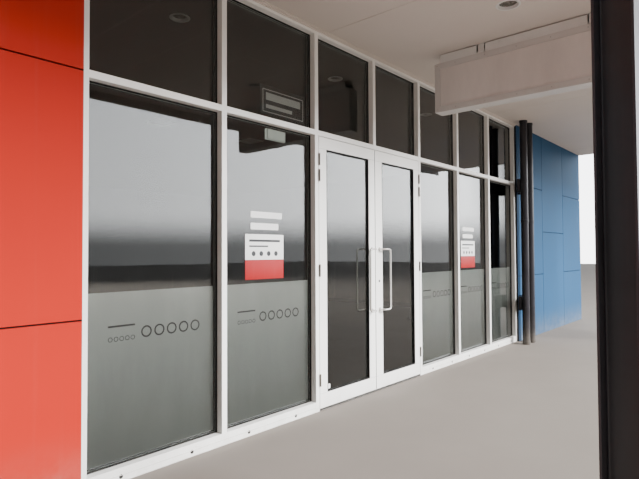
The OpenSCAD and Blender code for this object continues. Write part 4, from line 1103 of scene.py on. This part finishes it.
class SHOP_OT_posts(ShopOperator):
    """Finish the posts and add welds, anchor nuts and cap bolts."""

    bl_idname = "shop.posts"
    bl_label = "Posts"

    def build(self, sizes):
        # The posts and their welds take the lightened charcoal, which is painted light.
        dress("post_paint", "awning_posts")
        outline = [(-HALF_D, -HALF_W), (HALF_D, -HALF_W), (HALF_D, -FLANGE),
                   (HALF_WEB, -FLANGE), (HALF_WEB, FLANGE), (HALF_D, FLANGE)]
        outline += [(-dx, -dy) for dx, dy in outline]
        nuts, welds, caps = [], [], []
        for x in POSTS:
            for points, out, deep, z in ((nuts, ANCHOR_OUT, ANCHOR_OUT, BASE_TOP),
                                         (caps, *CAP_BOLTS, SOFFIT + CAP_TOP)):
                points.extend((x + dx, POST_Y + dy, z) for dx in (-out, out)
                              for dy in (-deep, deep))
            welds.append([(x + dx, POST_Y + dy, BASE_TOP + 1) for dx, dy in outline])
        fixings("anchor_nuts", nuts, UP, "fixing_steel", (15, 16, 6), (20, 3.5),
                (10, 38))
        bead_run("post_welds", welds, 3.4, "post_paint", 1.2, 9, True)
        fixings("cap_bolts", caps, DOWN, "fixing_steel", (11, 10, 6), (15, 2.5))


# LIGHTS
def lamp_places():
    """Middle and lens radius of every downlight, under the awning and then in the shop."""
    places = []
    for node, pitch, count, radius in (("awning_downlights", 3500, 4, 69),
                                       ("shop_downlights", 2040, 3, 59)):
        x, y = (sum(reach(node, axis)) / 2 for axis in (0, 1))
        places += [(x + pitch * (i - (count - 1) / 2), y, radius) for i in range(count)]
    return places


class SHOP_OT_lamps(ShopOperator):
    """Finish the lights and add lenses and diffusers."""

    bl_idname = "shop.lamps"
    bl_label = "Lamps"

    def build(self, sizes):
        dress("light_rim", "shop_downlights", "awning_downlights", "ceiling_lights")
        dress("exit_diffuser", "exit_light")
        lenses = Solid()
        for x, y, r in lamp_places():
            lenses.lathe([(0, 9), (r * 0.45, 9.6), (r * 0.8, 12), (r, 16), (r, 18.5),
                          (0, 18.5)], (x, y, SOFFIT), UP, 48)
        lenses.make("downlight_lenses", "lamp_lens", "exit_diffuser")
        first, near = reach("ceiling_lights", 0)[0], reach("ceiling_lights", 1)[0]
        rim, side, pitch = 31, 268, 1750
        blocks("ceiling_diffusers", "lamp_diffuser", "exit_diffuser",
               [((x, near + rim, SOFFIT + 4), (x + side, near + rim + side, SOFFIT + 8))
                for x in (first + rim + pitch * i for i in range(4))], 1)
        edge = Solid()
        x, y, z = (reach("exit_light", axis) for axis in range(3))
        edge.ring((*x, z[0], z[0] + 160), 9, y[0] - 3, y[0] + 2)
        edge.make("exit_light_edge", "light_rim", "light_rim")


# HANGING SIGN
class SHOP_OT_sign(ShopOperator):
    """Finish the blank hanging sign and add corner plates, screws and hanger plates."""

    bl_idname = "shop.sign"
    bl_label = "Hanging Sign"

    def build(self, sizes):
        dress("sign_edge", "sign_frame")
        dress("light_rim", "sign_hangers")
        dress("sign_skin", "sign_skins")
        trim, screws = Solid(), {-1: [], 1: []}
        faces, ends, heights = (reach("sign_frame", axis) for axis in range(3))
        bar, middle, pitch = 55, 27, 295
        rows = (heights[0] + middle, heights[1] - middle)
        for side, x in ((-1, faces[0]), (1, faces[1])):
            for y, inner in ((ends[0], ends[0] + bar), (ends[1] - bar, ends[1])):
                for z in (heights[0], heights[1] - bar):
                    trim.block((min(x, x + side), y, z), (max(x, x + side), inner, z + bar),
                               0.3)
                screws[side] += [(x + side, (y + inner) / 2, z) for z in rows]
            screws[side] += [(x, ends[0] + 220 + pitch * i, z) for i in range(6) for z in rows]
        trim.make("sign_corner_plates", "sign_edge", "sign_edge")
        for side, name in ((-1, "left"), (1, "right")):
            fixings(f"sign_screws_{name}", screws[side], (side, 0, 0), "fixing_steel",
                    (3.5, 1.5, 14), (4.5, 0.4))
        hangers = [ends[0] + part * (ends[1] - ends[0]) for part in (0.25, 0.75)]
        blocks("hanger_plates", "light_rim", "light_rim",
               [((x, y - 30, heights[1] + 0.1), (x + 2, y + 30, SOFFIT - 0.1))
                for y in hangers for x in (faces[0] + 8, faces[1] - 10)], 0.4)
        bolts = [(sum(faces) / 2, y + dy, SOFFIT - 6) for y in hangers for dy in (-36, 36)]
        fixings("hanger_bolts", bolts, DOWN, "fixing_steel", (5.5, 4, 6), (8, 1))


# DRAINAGE
FRONT_PIPE_R, FRONT_PIPE_IN, BRACKETS, STRAP_H = 53, 58, (600, 2350), 26
REAR_PIPE_X, REAR_PIPE_Y = 1200, 75


class SHOP_OT_drainage(ShopOperator):
    """Finish the gutters and pipes and add joint rings, straps and bolts."""

    bl_idname = "shop.drainage"
    bl_label = "Drainage"

    def build(self, sizes):
        dress("charcoal_steel", "front_downpipes", "downpipe_brackets", "rear_gutter",
              "rear_downpipes")
        rings, straps, r = Solid(), Solid(), FRONT_PIPE_R
        ends, y = reach("front_downpipes", 0), sum(reach("front_downpipes", 1)) / 2
        pipes = (ends[0] + FRONT_PIPE_IN, ends[1] - FRONT_PIPE_IN)
        for x in pipes:
            for z in (8, 1795):
                rings.lathe([(r + 0.2, 0), (r + 3.5, 1), (r + 4, 4), (r + 4, 44), (r + 3.5, 47),
                             (r + 0.2, 48)], (x, y, z), UP, 48, True)
        for x in (REAR_PIPE_X, WIDTH - REAR_PIPE_X):
            for z in (8, 1700, 3100):
                rings.lathe([(45.2, 0), (48, 1), (48, 35), (45.2, 36)],
                            (x, DEPTH + REAR_PIPE_Y, z), UP, 40, True)
        rings.make("pipe_rings", "charcoal_steel", "charcoal_steel")
        rails = [(z - 70, z + 70) for z in BRACKETS]
        for pair in rails:
            for x in pipes:
                for z in pair:
                    straps.tube(r + 0.3, r + 2.2, STRAP_H, (x, y, z - STRAP_H / 2), UP, 48)
        straps.make("pipe_straps", "charcoal_steel", "charcoal_steel")
        bolts = [(OPENING[1] + 127, -6, z) for pair in rails for z in pair]
        fixings("bracket_bolts", bolts, STREET, "charcoal_steel", (7, 6, 6),
                (10, 1.5))
        top, out = reach("rear_gutter", 2)[1] - 3, reach("rear_gutter", 1)[1]
        boxes = []
        for x in range(700, int(WIDTH) - 400, 900):
            boxes += [((x - 12, DEPTH + 3, top - 3), (x + 12, out - 3, top)),
                      ((x - 12, out, top - 25), (x + 12, out + 2, top))]
        blocks("gutter_straps", "galvanised", "galvanised", boxes)


# ROOF
ROOF_FALL, ROOF_SCREWS = 350 / 11820, [288 + 1381.75 * k for k in range(9)]
SHEET_X, SHEET_Y = (reach("roof_sheeting", axis)[0] for axis in (0, 1))
SHEET_Z = reach("roof_sheeting", 2)[1] - RIB_H


class SHOP_OT_roof(ShopOperator):
    """Finish the roof and add flashings, screws and capping joints."""

    bl_idname = "shop.roof"
    bl_label = "Roof"

    def build(self, sizes):
        dress("roof_metal", "roof_sheeting")
        dress("galvanised", "roof_purlins")
        dress("charcoal_steel", "parapet_capping")
        sheet_screws("roof_screws", rib_places(SHEET_X, WIDTH - SHEET_X), (SHEET_Y, SHEET_Z),
                     ROOF_SCREWS, ROOF_FALL, (5.5, 5, 6), (10, 2))
        apron, barge, end = Solid(), Solid(), SIDE_IN + 0.5
        apron.strip([(180.5, 4520), (182, 4520), (183, 4400), (330, 4392.5), (330, 4391),
                     (181.5, 4398)], end, WIDTH - end)
        apron.make("front_apron", "roof_metal", "roof_metal")
        for x, side in ((end, 1), (WIDTH - end, -1)):
            for high, wide in ((150, 1.2), (48.2, 110)):
                corners = [(y, SHEET_Z + lift - (y - WALL_BACK) * ROOF_FALL)
                           for y, lift in corners_of((190, 11995, 47, high))]
                barge.strip(corners, *sorted((x, x + side * wide)))
        barge.make("side_flashings", "roof_metal", "roof_metal")

        low, top = reach("parapet_capping", 2)
        face, cap_back, cap_w, lap = reach("parapet_capping", 1)[0], 187, 197, 40
        boxes, rivets = [], []
        for x in (WIDTH * k / 6 for k in range(1, 6)):
            boxes += [((x - lap, face - 1.6, low), (x + lap, face - 0.1, top + 1.3)),
                      ((x - lap, face - 0.1, top + 0.1), (x + lap, cap_back, top + 1.3))]
            rivets += [(x + dx, y, top + 1.3) for dx in (-28, 28) for y in (40, 140)]
        for x in (0, WIDTH - cap_w):
            for y in (3100, 6100, 9100):
                boxes.append(((x, y - lap, top + 0.1), (x + cap_w, y + lap, top + 1.3)))
                rivets += [(x + dx, y + dy, top + 1.3) for dx in (45, 150) for dy in (-28, 28)]
        blocks("capping_joints", "charcoal_steel", "charcoal_steel", boxes, 0.4)
        fixings("capping_rivets", rivets, UP, "fixing_steel", (3.2, 1.4, 12),
                (4.8, 0.5))


# STAGE
STAGE_HALF, STAGE_Z = 60.0, -0.001
SUN_SIDE = (0.9, -0.43, 0.0)
LAMPS = {
    "street_light": ((5, -23, 10.5), (0, -4, 1.2), 9, 17000),
    "rear_light": ((-14, 20, 14), (0, 4, 1.5), 9, 2500),
}
EYE, EYE_TURN = (-4.608, -7.515, 1.3625), (91.481, 0.295, -49.103)
FOCAL_LENGTH, SENSOR_W = 29.42, 36


def soft_sky():
    """A pale sky: bright on one side of the street, hazy low down and dimmer overhead."""
    world = bpy.data.worlds.new("soft_sky")
    world.use_nodes = True
    world.node_tree.nodes.clear()
    w = Wiring(world.node_tree)
    where = w.add("ShaderNodeTexCoord").outputs["Generated"]
    up, soft = w.split(where)[2], {"interpolation_type": "SMOOTHSTEP"}
    side = w.span(w.dot(where, SUN_SIDE), 0.25, 1.0, 0.55, 10.0, **soft)
    front = w.dot(where, (0.0, -1.0, 0.0))
    low = w.span(up, 0.01, 0.08, 0.15, 1.0, **soft)
    haze = w.math("ADD", 1.0, w.math("MULTIPLY", w.span(front, 0.0, 0.25),
                                     w.math("SUBTRACT", low, 1.0)))
    gap = w.math("MULTIPLY", w.span(front, 0.36, 0.42, 1.0, 0.0), w.span(front, -0.4, 0.2))
    haze = w.math("MULTIPLY", haze, w.span(gap, 0.0, 1.0, 1.0, 0.2))
    high = w.math("MULTIPLY", haze, w.span(up, 0.35, 0.75, 1.0, 0.3))
    sky = w.mix(w.span(up, 0.0, 0.5), (0.98, 0.985, 1.0, 1), (0.92, 0.95, 1.0, 1))
    light = w.add("ShaderNodeBackground", {
        "Color": sky, "Strength": w.math("MULTIPLY", side, high)})
    w.feed(w.add("ShaderNodeOutputWorld").inputs["Surface"], light.outputs[0])
    return world


class SHOP_OT_stage(ShopOperator):
    """Lay the plain floor and set the sky, the soft lights and the camera."""

    bl_idname = "shop.stage"
    bl_label = "Stage"

    def build(self, sizes):
        mesh = bpy.data.meshes.new("stage_floor")
        mesh.from_pydata([(x, y, STAGE_Z) for x, y in corners_of(
            (-STAGE_HALF, STAGE_HALF, -STAGE_HALF, STAGE_HALF))], [], [(0, 1, 2, 3)])
        material, w, where = new_finish("stage_floor")
        mottle = w.noise(where, 1.4, 6.0, 0.6)
        body = w.mix(mottle, (0.200, 0.176, 0.153, 1), (0.240, 0.213, 0.187, 1))
        close_finish(w, {"Base Color": body, "Roughness": 0.85, "Specular IOR Level": 0.15})
        mesh.materials.append(material)
        floor = show("stage_floor", mesh)
        bpy.context.scene.world = soft_sky()

        for name, (place, target, size, power) in LAMPS.items():
            lamp = bpy.data.lights.new(name, "AREA")
            lamp.size = size
            lamp.energy = power
            holder = show(name, lamp)
            holder.visible_glossy = holder.visible_transmission = False
            holder.location = place
            aim = Vector(target) - Vector(place)
            holder.rotation_euler = aim.to_track_quat("-Z", "Y").to_euler()

        lens = bpy.data.cameras.new("street_view")
        lens.lens = FOCAL_LENGTH
        lens.sensor_width = SENSOR_W
        camera = show("street_view", lens)
        camera.location = EYE
        camera.rotation_euler = [math.radians(angle) for angle in EYE_TURN]
        bpy.context.scene.camera = camera


class SHOP_PT_panel(bpy.types.Panel):
    """Lists the parts of the shop building."""

    bl_label = "Shop Building"
    bl_idname = "SHOP_PT_panel"
    bl_space_type = "VIEW_3D"
    bl_region_type = "UI"
    bl_category = "Shop"

    def draw(self, context):
        for group in (context.scene.shop_sizes, context.scene.shop_colours):
            column = self.layout.column()
            for key in group.__annotations__:
                column.prop(group, key)
        for operator in OPERATORS:
            self.layout.operator(operator.bl_idname)


OPERATORS = (SHOP_OT_stage, SHOP_OT_walls, SHOP_OT_cladding, SHOP_OT_shopfront,
             SHOP_OT_films, SHOP_OT_doors, SHOP_OT_awning, SHOP_OT_posts, SHOP_OT_lamps,
             SHOP_OT_sign, SHOP_OT_drainage, SHOP_OT_roof)
CLASSES = (ShopSizes, ShopColours, *OPERATORS, SHOP_PT_panel)


def register():
    for cls in CLASSES:
        bpy.utils.register_class(cls)
    bpy.types.Scene.shop_sizes = bpy.props.PointerProperty(type=ShopSizes)
    bpy.types.Scene.shop_colours = bpy.props.PointerProperty(type=ShopColours)


def unregister():
    del bpy.types.Scene.shop_colours
    del bpy.types.Scene.shop_sizes
    for cls in reversed(CLASSES):
        bpy.utils.unregister_class(cls)


def main():
    """Makes every part in order."""
    register()
    for operator in OPERATORS:
        group, name = operator.bl_idname.split(".")
        getattr(getattr(bpy.ops, group), name)()


if __name__ == "__main__":
    main()
